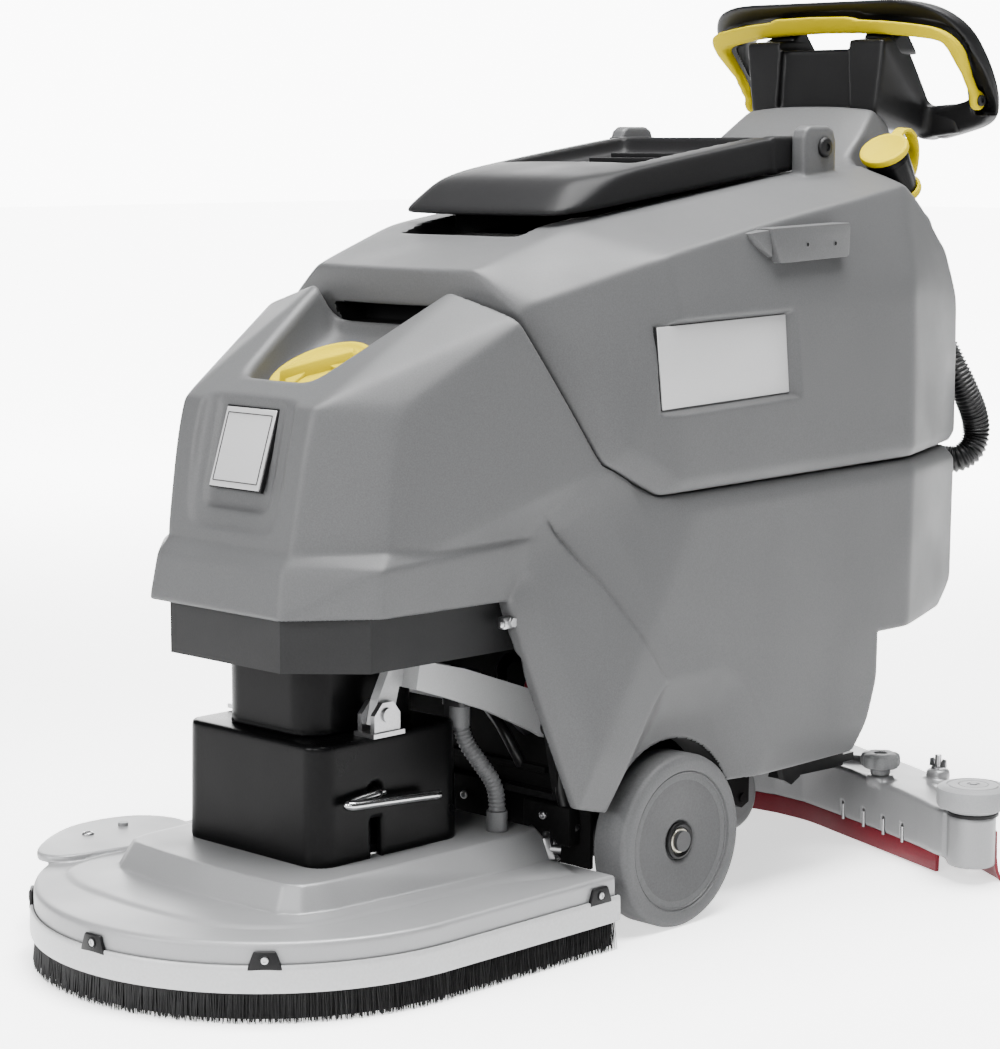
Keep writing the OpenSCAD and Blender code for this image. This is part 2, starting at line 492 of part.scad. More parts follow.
// Open line from side to side, from its right half
function across(P) = concat([for (i = [len(P) - 1:-1:1]) [-P[i][0], P[i][1]]], P);
module squeegee_body() color([0.72, 0.73, 0.74]) frame() difference() {
  union() {
    translate([0, 0, 26]) linear_extrude(66) polygon(both(concat(sq_plan_f, sq_plan_r)));
    sides() translate([roll_c[0] - 6, roll_c[1] + 4, 26]) cylinder(r = 32, h = 56);
    sides() translate([206, 1096, 88]) cylinder(r = 16, h = 8);
  }
  // hollow between the blades
  translate([0, 0, 20]) linear_extrude(56) polygon(both([[0,1152],[60,1145],[290,1066],[330,1052],[334,1080],[250,1140],[110,1196],[60,1214],[0,1218]]));
  translate([0, noz_s, 60]) cylinder(r = 25.9, h = 60);
  sides() translate([roll_c[0], roll_c[1], 60]) cylinder(r = 8 - 0.5, h = 40);
  sides() translate([roll_c[0], roll_c[1], 87]) cylinder(r = roller_r + 1, h = 40);
  sides() translate([206, 1096, 70]) cylinder(r = 6 + run, h = 40);
}
// Strip of thickness t in front of a line across the machine
module blade(P, t, z0, z1) translate([0, 0, z0]) linear_extrude(z1 - z0) polygon(concat(across(P),
  [for (i = [2 * len(P) - 2:-1:0]) let (q = across(P)[i]) [q[0], q[1] - t]]));
module front_blade() color([0.5, 0.05, 0.1]) frame() blade([[0,1151.6],[60,1144.6],[290,1065.6],[330,1051.6]], 6, 2, 25.9);
rear_line = [[0,1246.4],[62,1242.4],[112,1222.4],[254,1172.4],[344,1103.4],[392,1076]];
module rear_blade() color([0.5, 0.05, 0.1]) frame() difference() {
  blade(rear_line, 5, 0, 62);
  sides() translate([roll_c[0] - 6, roll_c[1] + 4, -1]) cylinder(r = 32.2, h = 90);
}
module blade_strap() color([0.8, 0.8, 0.81]) frame()
  blade([for (i = [0:4]) [rear_line[i][0], rear_line[i][1] + 3.2]], 3, 36, 60);
module suction_nozzle() color([0.1, 0.1, 0.1]) frame() difference() {
  union() { translate([0, noz_s, 62]) cylinder(r = 25.9, h = 88); translate([0, noz_s, 111]) cylinder(r = 32, h = 8); }
  translate([0, noz_s, 61]) cylinder(r = 20, h = 80);
}
module roller() translate([roll_c[0], roll_c[1], 0]) {
  difference() { translate([0, 0, 88]) cylinder(r = roller_r, h = 34); }
  translate([0, 0, 62]) cylinder(r = 7.5 - run, h = 27);
}
module left_roller() color([0.62, 0.63, 0.64]) frame() roller();
module right_roller() color([0.62, 0.63, 0.64]) frame() mirror([1, 0, 0]) roller();
module knob() translate([206, 1096, 0]) {
  translate([0, 0, 78]) cylinder(r = 6, h = 30);
  translate([0, 0, 96.3]) cylinder(r = 13, h = 8);
  translate([0, 0, 104]) cylinder(r = 25, h = 20);
}
module left_knob() color([0.5, 0.51, 0.52]) frame() knob();
module right_knob() color([0.5, 0.51, 0.52]) frame() mirror([1, 0, 0]) knob();

lower_shell();
front_band();
chassis_frame();
batteries();
transaxle();
filler_neck();
nose_plate();
tank_hinge_pin();
suction_hose();
upper_tank();
console_housing();
handle_rim();
side_plates();
lid_bolts();
vacuum_turbine();
control_panel();
console_screws();
hose_end();
drain_hose();
drain_strap();
lid();
drive_bar();
drain_cap();
filler_cap();
key_switch();
water_dial();
start_button();
left_wheel();
left_hub();
right_wheel();
right_hub();
caster_fork();
caster_wheel();
lift_arm();
deck_plate();
skirt_band();
skirt_bristles();
skirt_clips();
motor_box();
motor_housing();
brush_motor();
clevis_bracket();
water_valve();
rinse_hose();
pad_driver();
scrub_pad();
release_lever();
deck_roller();
squeegee_arm();
squeegee_body();
front_blade();
rear_blade();
blade_strap();
suction_nozzle();
left_roller();
right_roller();
left_knob();
right_knob();
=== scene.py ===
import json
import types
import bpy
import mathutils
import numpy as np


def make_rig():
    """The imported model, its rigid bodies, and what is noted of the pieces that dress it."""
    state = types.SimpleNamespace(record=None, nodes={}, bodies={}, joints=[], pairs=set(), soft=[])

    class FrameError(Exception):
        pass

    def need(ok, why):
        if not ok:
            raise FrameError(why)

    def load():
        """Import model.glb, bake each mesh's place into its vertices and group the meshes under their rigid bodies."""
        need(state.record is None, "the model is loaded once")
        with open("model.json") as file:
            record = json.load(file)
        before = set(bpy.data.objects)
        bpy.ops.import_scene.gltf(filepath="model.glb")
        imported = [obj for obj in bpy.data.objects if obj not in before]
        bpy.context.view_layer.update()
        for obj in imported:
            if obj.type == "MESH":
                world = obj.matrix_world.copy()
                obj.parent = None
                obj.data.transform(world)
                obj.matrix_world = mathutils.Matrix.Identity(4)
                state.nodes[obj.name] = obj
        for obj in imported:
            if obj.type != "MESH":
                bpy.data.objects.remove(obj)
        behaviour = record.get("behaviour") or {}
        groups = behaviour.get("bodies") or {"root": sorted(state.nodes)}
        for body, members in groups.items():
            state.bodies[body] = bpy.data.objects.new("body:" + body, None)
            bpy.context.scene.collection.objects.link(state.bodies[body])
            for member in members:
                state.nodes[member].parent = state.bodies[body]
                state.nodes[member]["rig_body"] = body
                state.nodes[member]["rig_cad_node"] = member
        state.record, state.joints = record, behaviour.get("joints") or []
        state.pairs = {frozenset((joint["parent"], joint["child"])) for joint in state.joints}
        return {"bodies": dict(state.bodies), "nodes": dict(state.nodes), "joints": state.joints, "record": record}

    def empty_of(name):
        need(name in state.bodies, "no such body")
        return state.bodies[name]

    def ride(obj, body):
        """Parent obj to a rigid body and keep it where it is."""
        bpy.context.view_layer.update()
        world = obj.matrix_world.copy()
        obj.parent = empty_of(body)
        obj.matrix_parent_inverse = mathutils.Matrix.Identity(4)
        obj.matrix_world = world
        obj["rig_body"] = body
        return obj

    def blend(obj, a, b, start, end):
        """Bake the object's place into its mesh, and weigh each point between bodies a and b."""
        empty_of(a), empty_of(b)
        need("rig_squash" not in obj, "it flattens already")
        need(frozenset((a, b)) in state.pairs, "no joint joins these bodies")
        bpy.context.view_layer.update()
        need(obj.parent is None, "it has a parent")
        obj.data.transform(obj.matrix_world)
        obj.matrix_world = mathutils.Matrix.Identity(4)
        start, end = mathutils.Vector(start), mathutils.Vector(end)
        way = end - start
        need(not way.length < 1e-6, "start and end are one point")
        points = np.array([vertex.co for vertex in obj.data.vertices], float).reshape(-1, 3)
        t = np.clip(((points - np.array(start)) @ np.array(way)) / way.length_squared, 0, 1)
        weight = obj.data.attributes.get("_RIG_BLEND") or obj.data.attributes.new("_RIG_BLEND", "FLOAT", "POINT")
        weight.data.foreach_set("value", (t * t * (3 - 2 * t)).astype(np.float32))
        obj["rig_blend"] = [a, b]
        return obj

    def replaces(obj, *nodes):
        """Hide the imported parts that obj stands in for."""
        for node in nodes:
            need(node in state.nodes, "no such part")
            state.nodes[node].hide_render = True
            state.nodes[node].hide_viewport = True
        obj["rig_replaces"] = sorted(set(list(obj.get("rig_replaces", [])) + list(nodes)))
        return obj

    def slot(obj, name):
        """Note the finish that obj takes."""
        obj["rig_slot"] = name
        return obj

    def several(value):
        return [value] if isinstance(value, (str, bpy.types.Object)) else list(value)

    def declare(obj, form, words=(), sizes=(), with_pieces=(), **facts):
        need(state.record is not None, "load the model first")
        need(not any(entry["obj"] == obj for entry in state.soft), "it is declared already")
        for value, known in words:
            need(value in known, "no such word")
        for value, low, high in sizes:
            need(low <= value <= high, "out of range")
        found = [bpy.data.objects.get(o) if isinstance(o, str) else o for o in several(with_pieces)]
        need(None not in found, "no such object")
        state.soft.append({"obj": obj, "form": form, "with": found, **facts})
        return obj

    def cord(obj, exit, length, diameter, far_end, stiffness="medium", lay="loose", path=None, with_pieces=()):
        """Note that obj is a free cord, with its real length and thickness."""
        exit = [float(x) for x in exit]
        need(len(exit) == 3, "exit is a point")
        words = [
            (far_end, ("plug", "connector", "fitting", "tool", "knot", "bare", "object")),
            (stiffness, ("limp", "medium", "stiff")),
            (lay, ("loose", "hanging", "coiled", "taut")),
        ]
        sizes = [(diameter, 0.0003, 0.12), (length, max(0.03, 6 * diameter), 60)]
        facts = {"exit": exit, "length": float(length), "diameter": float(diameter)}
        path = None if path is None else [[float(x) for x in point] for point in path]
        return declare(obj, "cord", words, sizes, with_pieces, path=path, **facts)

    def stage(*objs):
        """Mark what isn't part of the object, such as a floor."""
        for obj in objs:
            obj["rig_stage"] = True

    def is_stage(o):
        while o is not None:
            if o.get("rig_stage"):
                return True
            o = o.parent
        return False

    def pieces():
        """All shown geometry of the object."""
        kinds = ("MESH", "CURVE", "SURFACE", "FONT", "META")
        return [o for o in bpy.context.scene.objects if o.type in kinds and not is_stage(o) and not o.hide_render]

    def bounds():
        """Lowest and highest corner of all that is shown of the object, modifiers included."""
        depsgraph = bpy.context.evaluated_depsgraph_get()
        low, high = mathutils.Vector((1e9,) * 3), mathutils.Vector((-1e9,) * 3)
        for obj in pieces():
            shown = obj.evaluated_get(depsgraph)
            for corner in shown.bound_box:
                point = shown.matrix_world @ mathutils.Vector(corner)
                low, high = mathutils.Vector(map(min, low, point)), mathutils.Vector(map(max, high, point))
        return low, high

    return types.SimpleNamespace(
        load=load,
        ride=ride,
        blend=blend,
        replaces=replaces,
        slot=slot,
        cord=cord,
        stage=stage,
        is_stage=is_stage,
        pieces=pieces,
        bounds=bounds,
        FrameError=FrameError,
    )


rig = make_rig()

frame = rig.load()

import bpy
import bmesh
import json
import math
import random
import numpy as np
from mathutils import Vector, Matrix

# The drawing works in millimetres: X to the machine's left, S back from the
# skirt front, Z up. W() turns that into metres in the shared frame.
HALF_L = 672.5
LOW0, HIGH0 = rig.bounds()


def W(p):
    return Vector((p[0] / 1000.0, (p[1] - HALF_L) / 1000.0, p[2] / 1000.0))


def mir(pts):
    return list(pts) + [(-p[0], p[1], p[2]) for p in pts]


# ------------------------------------------------------------ solid fields
def hull_planes(pts):
    bm = bmesh.new()
    for p in pts:
        bm.verts.new(p)
    bmesh.ops.convex_hull(bm, input=bm.verts[:])
    c = np.mean(np.array(pts, float), axis=0)
    out = []
    for f in bm.faces:
        if f.calc_area() < 1.0:
            continue
        n = np.array(f.normal, float)
        d = float(n @ np.array(f.verts[0].co, float))
        if n @ c > d:
            n, d = -n, -d
        for m, e in out:
            if m @ n > 0.9992 and abs(e - d) < 2.5:
                break
        else:
            out.append((n, d))
    bm.free()
    return out


def softmax(vals, t):
    m = vals[0]
    for v in vals[1:]:
        m = np.maximum(m, v)
    s = np.zeros_like(m)
    for v in vals:
        s += np.exp((v - m) / t)
    return m + t * np.log(s)


def convex(pts, t, sharp=None, ts=1.5):
    """Convex solid through pts with edges rounded by t, and by ts on the planes that sharp(n) picks."""
    pl = hull_planes(pts)
    a = [p for p in pl if not (sharp and sharp(p[0]))]
    b = [p for p in pl if sharp and sharp(p[0])]

    def f(P):
        v = softmax([P @ n.astype(np.float32) - np.float32(d) for n, d in a], t)
        if b:
            v = softmax([v] + [P @ n.astype(np.float32) - np.float32(d) for n, d in b], ts)
        return v
    return f


def smax(a, b, k):
    h = np.maximum(k - np.abs(a - b), 0) / k
    return np.maximum(a, b) + h * h * (k * 0.25)


def smin(a, b, k):
    return -smax(-a, -b, k)


def cut(f, g, k):
    return lambda P: smax(f(P), -g(P), k)


def both(f, g, k):
    return lambda P: smax(f(P), g(P), k)


def join(f, g, k):
    return lambda P: smin(f(P), g(P), k)


def rbox(x0, x1, s0, s1, z0, z1, r):
    c = np.array([(x0 + x1) / 2, (s0 + s1) / 2, (z0 + z1) / 2], np.float32)
    h = np.array([(x1 - x0) / 2 - r, (s1 - s0) / 2 - r, (z1 - z0) / 2 - r], np.float32)

    def f(P):
        q = np.abs(P - c) - h
        return np.sqrt((np.maximum(q, 0) ** 2).sum(1)) + np.minimum(q.max(1), 0) - r
    return f


def rod(a, b, r, e=1.0):
    """Round bar from a to b with edges rounded by e."""
    a = np.array(a, np.float32)
    b = np.array(b, np.float32)
    L = float(np.linalg.norm(b - a))
    u = (b - a) / L

    def f(P):
        q = P - a
        z = q @ u
        rr = np.sqrt(np.maximum((q * q).sum(1) - z * z, 0))
        return softmax([rr - r, -z, z - L], e)
    return f


def mirrored(f):
    def g(P):
        Q = P.copy()
        Q[:, 0] = np.abs(Q[:, 0])
        return f(Q)
    return g


def poly2(pts):
    """Signed distance to a closed outline in the plane."""
    V = np.array(pts, np.float32)

    def f(A, B):
        n = len(V)
        d = np.full(A.shape, 1e12, np.float32)
        s = np.ones(A.shape, np.float32)
        j = n - 1
        for i in range(n):
            ex, ey = V[j] - V[i]
            wx, wy = A - V[i, 0], B - V[i, 1]
            t = np.clip((wx * ex + wy * ey) / (ex * ex + ey * ey), 0, 1)
            bx, by = wx - ex * t, wy - ey * t
            d = np.minimum(d, bx * bx + by * by)
            c1 = B >= V[i, 1]
            c2 = B < V[j, 1]
            c3 = ex * wy > ey * wx
            s = np.where((c1 & c2 & c3) | (~c1 & ~c2 & ~c3), -s, s)
            j = i
        return s * np.sqrt(d)
    return f


def prism(pts, axis, a0, a1, t):
    """Outline pushed along an axis: 0 draws in S-Z, 1 in X-Z, 2 in X-S."""
    g = poly2(pts)
    u, v = [(1, 2), (0, 2), (0, 1)][axis]

    def f(P):
        return softmax([g(P[:, u], P[:, v]), a0 - P[:, axis], P[:, axis] - a1], t)
    return f


def smooth_line(pts, n=6, closed=False):
    """Catmull-Rom line through pts."""
    P = [np.array(p, float) for p in pts]
    m = len(P)
    out = []
    for i in range(m if closed else m - 1):
        if closed:
            a, b, c, d = P[i - 1], P[i], P[(i + 1) % m], P[(i + 2) % m]
        else:
            a, b, c, d = P[max(i - 1, 0)], P[i], P[i + 1], P[min(i + 2, m - 1)]
        for k in range(n):
            t = k / n
            out.append(0.5 * ((2 * b) + (c - a) * t + (2 * a - 5 * b + 4 * c - d) * t * t + (3 * b - a - 3 * c + d) * t ** 3))
    if not closed:
        out.append(P[-1])
    return [tuple(p) for p in out]


def evaluate(f, P):
    out = np.empty(len(P), np.float32)
    for i in range(0, len(P), 400000):
        out[i:i + 400000] = f(P[i:i + 400000])
    return out


def surface(f, lo, hi, h, block=6):
    """Quads of the zero surface of f inside a box, with vertices put on the surface."""
    lo = np.array(lo, np.float32) - 2 * h
    hi = np.array(hi, np.float32) + 2 * h
    nb = np.ceil((hi - lo) / (h * block)).astype(int)
    n = nb * block
    g = np.stack(np.meshgrid(*[np.arange(k) for k in nb], indexing="ij"), -1).reshape(-1, 3)
    centre = lo + (g + 0.5).astype(np.float32) * (h * block) - np.float32(h * 0.5)
    fc = evaluate(f, centre)
    big = h * block
    A = np.repeat(np.repeat(np.repeat(np.where(fc > 0, big, -big).astype(np.float32).reshape(nb), block, 0), block, 1), block, 2)
    act = g[np.abs(fc) < big * 0.87 * 1.25 + h]
    off = np.stack(np.meshgrid(*[np.arange(block)] * 3, indexing="ij"), -1).reshape(-1, 3)
    for i in range(0, len(act), 2000):
        idx = (act[i:i + 2000, None, :] * block + off[None]).reshape(-1, 3)
        A[idx[:, 0], idx[:, 1], idx[:, 2]] = evaluate(f, lo + idx.astype(np.float32) * np.float32(h))
    neg = A < 0
    cnt = np.zeros(tuple(n - 1), np.int8)
    for i in (0, 1):
        for j in (0, 1):
            for k in (0, 1):
                cnt += neg[i:n[0] - 1 + i, j:n[1] - 1 + j, k:n[2] - 1 + k]
    cell = np.argwhere((cnt > 0) & (cnt < 8))
    num = np.full(tuple(n - 1), -1, np.int64)
    num[cell[:, 0], cell[:, 1], cell[:, 2]] = np.arange(len(cell))
    acc = np.zeros((len(cell), 3), np.float32)
    wts = np.zeros(len(cell), np.float32)
    corner = [(i, j, k) for i in (0, 1) for j in (0, 1) for k in (0, 1)]
    for a in corner:
        for ax in range(3):
            if a[ax] == 0:
                b = list(a)
                b[ax] = 1
                va = A[cell[:, 0] + a[0], cell[:, 1] + a[1], cell[:, 2] + a[2]]
                vb = A[cell[:, 0] + b[0], cell[:, 1] + b[1], cell[:, 2] + b[2]]
                m = (va < 0) != (vb < 0)
                t = np.where(m, va / np.where(m, va - vb, 1), 0)
                p = np.array(a, np.float32)[None] + t[:, None] * (np.array(b) - np.array(a)).astype(np.float32)[None]
                acc[m] += p[m]
                wts += m
    V = lo + (cell.astype(np.float32) + acc / wts[:, None]) * np.float32(h)
    quads = []
    for ax in range(3):
        u, v = [(1, 2), (2, 0), (0, 1)][ax]
        a = [slice(None)] * 3
        b = [slice(None)] * 3
        a[ax], b[ax] = slice(0, n[ax] - 1), slice(1, n[ax])
        na, nbb = neg[tuple(a)], neg[tuple(b)]
        e = np.argwhere(na != nbb)
        e = e[(e[:, u] > 0) & (e[:, v] > 0) & (e[:, u] < n[u] - 1) & (e[:, v] < n[v] - 1)]
        flip = ~na[e[:, 0], e[:, 1], e[:, 2]]
        q = []
        for du, dv in ((-1, -1), (0, -1), (0, 0), (-1, 0)):
            c = e.copy()
            c[:, u] += du
            c[:, v] += dv
            q.append(num[c[:, 0], c[:, 1], c[:, 2]])
        q = np.stack(q, 1)
        q[flip] = q[flip][:, ::-1]
        quads.append(q)
    Q = np.concatenate(quads)
    eps = np.float32(0.4)
    for it in range(3):
        fv = evaluate(f, V)
        G = np.empty_like(V)
        for ax in range(3):
            d = np.zeros(3, np.float32)
            d[ax] = eps
            G[:, ax] = (evaluate(f, V + d) - evaluate(f, V - d)) / (2 * eps)
        g2 = np.maximum((G * G).sum(1), 0.15)
        step = -(fv / g2)[:, None] * G
        L = np.sqrt((step * step).sum(1))
        V += step * np.minimum(1, 0.6 * h / np.maximum(L, 1e-6))[:, None]
    return V, Q


MATS = {}


def give(ob, mat, body, nodes=(), slot=None):
    ob.data.materials.clear()
    ob.data.materials.append(MATS[mat])
    if body:
        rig.ride(ob, body)
    if nodes:
        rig.replaces(ob, *nodes)
    if slot:
        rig.slot(ob, slot)
    return ob


def mesh_object(name, verts, faces, smooth=True):
    me = bpy.data.meshes.new(name)
    V = np.asarray(verts, float)
    V = np.stack([V[:, 0], V[:, 1] - HALF_L, V[:, 2]], 1) / 1000.0
    me.from_pydata(V.tolist(), [], [list(map(int, f)) for f in faces])
    me.update()
    if smooth:
        me.polygons.foreach_set("use_smooth", [True] * len(me.polygons))
    ob = bpy.data.objects.new(name, me)
    bpy.context.scene.collection.objects.link(ob)
    return ob


def field_object(name, f, lo, hi, h):
    V, Q = surface(f, lo, hi, h)
    return mesh_object(name, V, Q)


# ------------------------------------------------------------ materials
# All colours stand at this share of their value, under lights that are as much stronger, so that floor and background come out white.
TONE = 0.45


def material(name, colour, rough, metal=0.0, grain=900.0, bump=0.15, depth=0.0003, var=0.1, smudge=0.06, coat=0.0, stretch=(1, 1, 1), spec=0.5):
    m = bpy.data.materials.new(name)
    m.use_nodes = True
    nt = m.node_tree
    nt.nodes.clear()
    out = nt.nodes.new("ShaderNodeOutputMaterial")
    b = nt.nodes.new("ShaderNodeBsdfPrincipled")
    tc = nt.nodes.new("ShaderNodeTexCoord")
    mp = nt.nodes.new("ShaderNodeMapping")
    mp.inputs["Scale"].default_value = stretch
    n1 = nt.nodes.new("ShaderNodeTexNoise")
    n1.inputs["Scale"].default_value = grain
    n1.inputs["Detail"].default_value = 3.0
    n1.inputs["Roughness"].default_value = 0.6
    n2 = nt.nodes.new("ShaderNodeTexNoise")
    n2.inputs["Scale"].default_value = 9.0
    n2.inputs["Detail"].default_value = 5.0
    ramp = nt.nodes.new("ShaderNodeValToRGB")
    ramp.color_ramp.elements[0].position = 0.32
    ramp.color_ramp.elements[1].position = 0.68
    if name != "floor":
        colour, spec = [c * TONE for c in colour], spec * TONE
    lo = [max(0.0, c * (1 - var)) for c in colour]
    hi = [min(1.0, c * (1 + var)) for c in colour]
    ramp.color_ramp.elements[0].color = (*lo, 1)
    ramp.color_ramp.elements[1].color = (*hi, 1)
    mr = nt.nodes.new("ShaderNodeMapRange")
    mr.inputs["From Min"].default_value = 0.3
    mr.inputs["From Max"].default_value = 0.7
    mr.inputs["To Min"].default_value = rough - smudge
    mr.inputs["To Max"].default_value = rough + smudge
    bp = nt.nodes.new("ShaderNodeBump")
    bp.inputs["Strength"].default_value = bump
    bp.inputs["Distance"].default_value = depth
    L = nt.links.new
    L(tc.outputs["Object"], mp.inputs["Vector"])
    L(mp.outputs["Vector"], n1.inputs["Vector"])
    L(tc.outputs["Object"], n2.inputs["Vector"])
    L(n1.outputs["Fac"], ramp.inputs["Fac"])
    L(ramp.outputs["Color"], b.inputs["Base Color"])
    L(n2.outputs["Fac"], mr.inputs["Value"])
    L(mr.outputs["Result"], b.inputs["Roughness"])
    L(n1.outputs["Fac"], bp.inputs["Height"])
    L(bp.outputs["Normal"], b.inputs["Normal"])
    b.inputs["Metallic"].default_value = metal
    b.inputs["Coat Weight"].default_value = coat
    b.inputs["Specular IOR Level"].default_value = spec
    L(b.outputs["BSDF"], out.inputs["Surface"])
    MATS[name] = m
    return m


material("grey_body", (0.0935, 0.0947, 0.0967), 0.5, grain=620, bump=0.22, depth=0.0004, var=0.13)
material("dark_band", (0.0145, 0.0148, 0.0153), 0.55, grain=500, bump=0.25, depth=0.0004, var=0.15, spec=0.3)
material("black_plastic", (0.006, 0.006, 0.0065), 0.42, grain=700, bump=0.2, depth=0.0003, var=0.25, spec=0.3)
material("black_shiny", (0.0035, 0.0035, 0.0038), 0.32, grain=380, bump=0.2, depth=0.0004, var=0.25, spec=0.13)
material("black_steel", (0.008, 0.008, 0.0085), 0.45, grain=1200, bump=0.1, var=0.2, spec=0.35)
# near-black painted shade for faces in recesses and holes and for the bay's back wall, where shade falls
material("inside_dark", (0.004, 0.004, 0.0042), 0.7, grain=500, bump=0.15, var=0.3, spec=0.15)
material("yellow_plastic", (0.68, 0.53, 0.0), 0.5, grain=700, bump=0.06, var=0.04, spec=0.04)
material("silver_cast", (0.39, 0.394, 0.4), 0.42, metal=0.35, grain=900, bump=0.1, depth=0.0003, var=0.05)
material("band_grey", (0.62, 0.625, 0.63), 0.36, metal=0.2, grain=300, bump=0.05, var=0.05)
material("bristle", (0.006, 0.006, 0.0065), 0.55, grain=500, bump=0.1, var=0.5)
material("wheel_grey", (0.1, 0.1015, 0.104), 0.6, grain=420, bump=0.25, depth=0.0004, var=0.14)
material("wheel_dark", (0.073, 0.074, 0.076), 0.6, grain=420, bump=0.25, depth=0.0004, var=0.14)
material("roller_grey", (0.33, 0.335, 0.34), 0.5, grain=600, bump=0.12, var=0.07)
material("steel", (0.62, 0.62, 0.63), 0.3, metal=1.0, grain=500, bump=0.06, var=0.08)
material("arm_grey", (0.52, 0.525, 0.53), 0.4, metal=0.25, grain=700, bump=0.1, var=0.06)
material("plate", (0.62, 0.62, 0.625), 0.42, metal=0.25, grain=240, bump=0.03, var=0.03, stretch=(1, 1, 12))
material("red_rubber", (0.24, 0.006, 0.02), 0.42, grain=400, bump=0.1, var=0.12)
material("battery_case", (0.02, 0.02, 0.022), 0.5, grain=500, bump=0.15, var=0.2)
material("motor_metal", (0.05, 0.05, 0.052), 0.45, metal=0.3, grain=600, bump=0.15, var=0.15)
material("hose_black", (0.009, 0.009, 0.0095), 0.33, grain=500, bump=0.1, var=0.2)
material("hose_grey", (0.42, 0.425, 0.43), 0.45, grain=500, bump=0.1, var=0.1)
material("driver", (0.02, 0.05, 0.16), 0.5, grain=400, bump=0.15, var=0.15)
material("pad_fibre", (0.2, 0.012, 0.01), 0.9, grain=260, bump=0.8, depth=0.002, var=0.4)


# ------------------------------------------------------------ lower shell
FINE = 1.0


def paint_recess_shade(ob, V, Q, spaces):
    """Painted shade: the faces that look into the given spaces take the near-black recess material."""
    A, B, C, D = (V[Q[:, k]] for k in range(4))
    n = np.cross(C - A, D - B)
    n /= np.maximum(np.linalg.norm(n, axis=1), 1e-9)[:, None]
    P = ((A + B + C + D) / 4 + n * 4.0).astype(np.float32)
    inside = np.zeros(len(P), bool)
    for g in spaces:
        inside |= evaluate(g, P) < -1.5
    ob.data.materials.append(MATS["inside_dark"])
    ob.data.polygons.foreach_set("material_index", inside.astype(np.int32))


def leg_step(f):
    """Sinks the side behind the diagonal edge of the leg, most at its upper end."""
    def g(P):
        ds, dz = P[:, 1] - 495, P[:, 2] - 462
        t, w = 0.587 * ds - 0.809 * dz, 0.809 * ds + 0.587 * dz
        q = np.clip(t / 216, 0, 1)
        deep = (6.5 - 4.7 * q) * np.clip(1 - w / (58 - 38 * q), 0, 1) * np.clip((w + 2) / 4, 0, 1)
        deep = deep * np.clip((t + 30) / 30, 0, 1) * np.clip((236 - t) / 20, 0, 1) * np.clip((np.abs(P[:, 0]) - 150) / 20, 0, 1)
        return f(P) + deep.astype(np.float32)
    return g


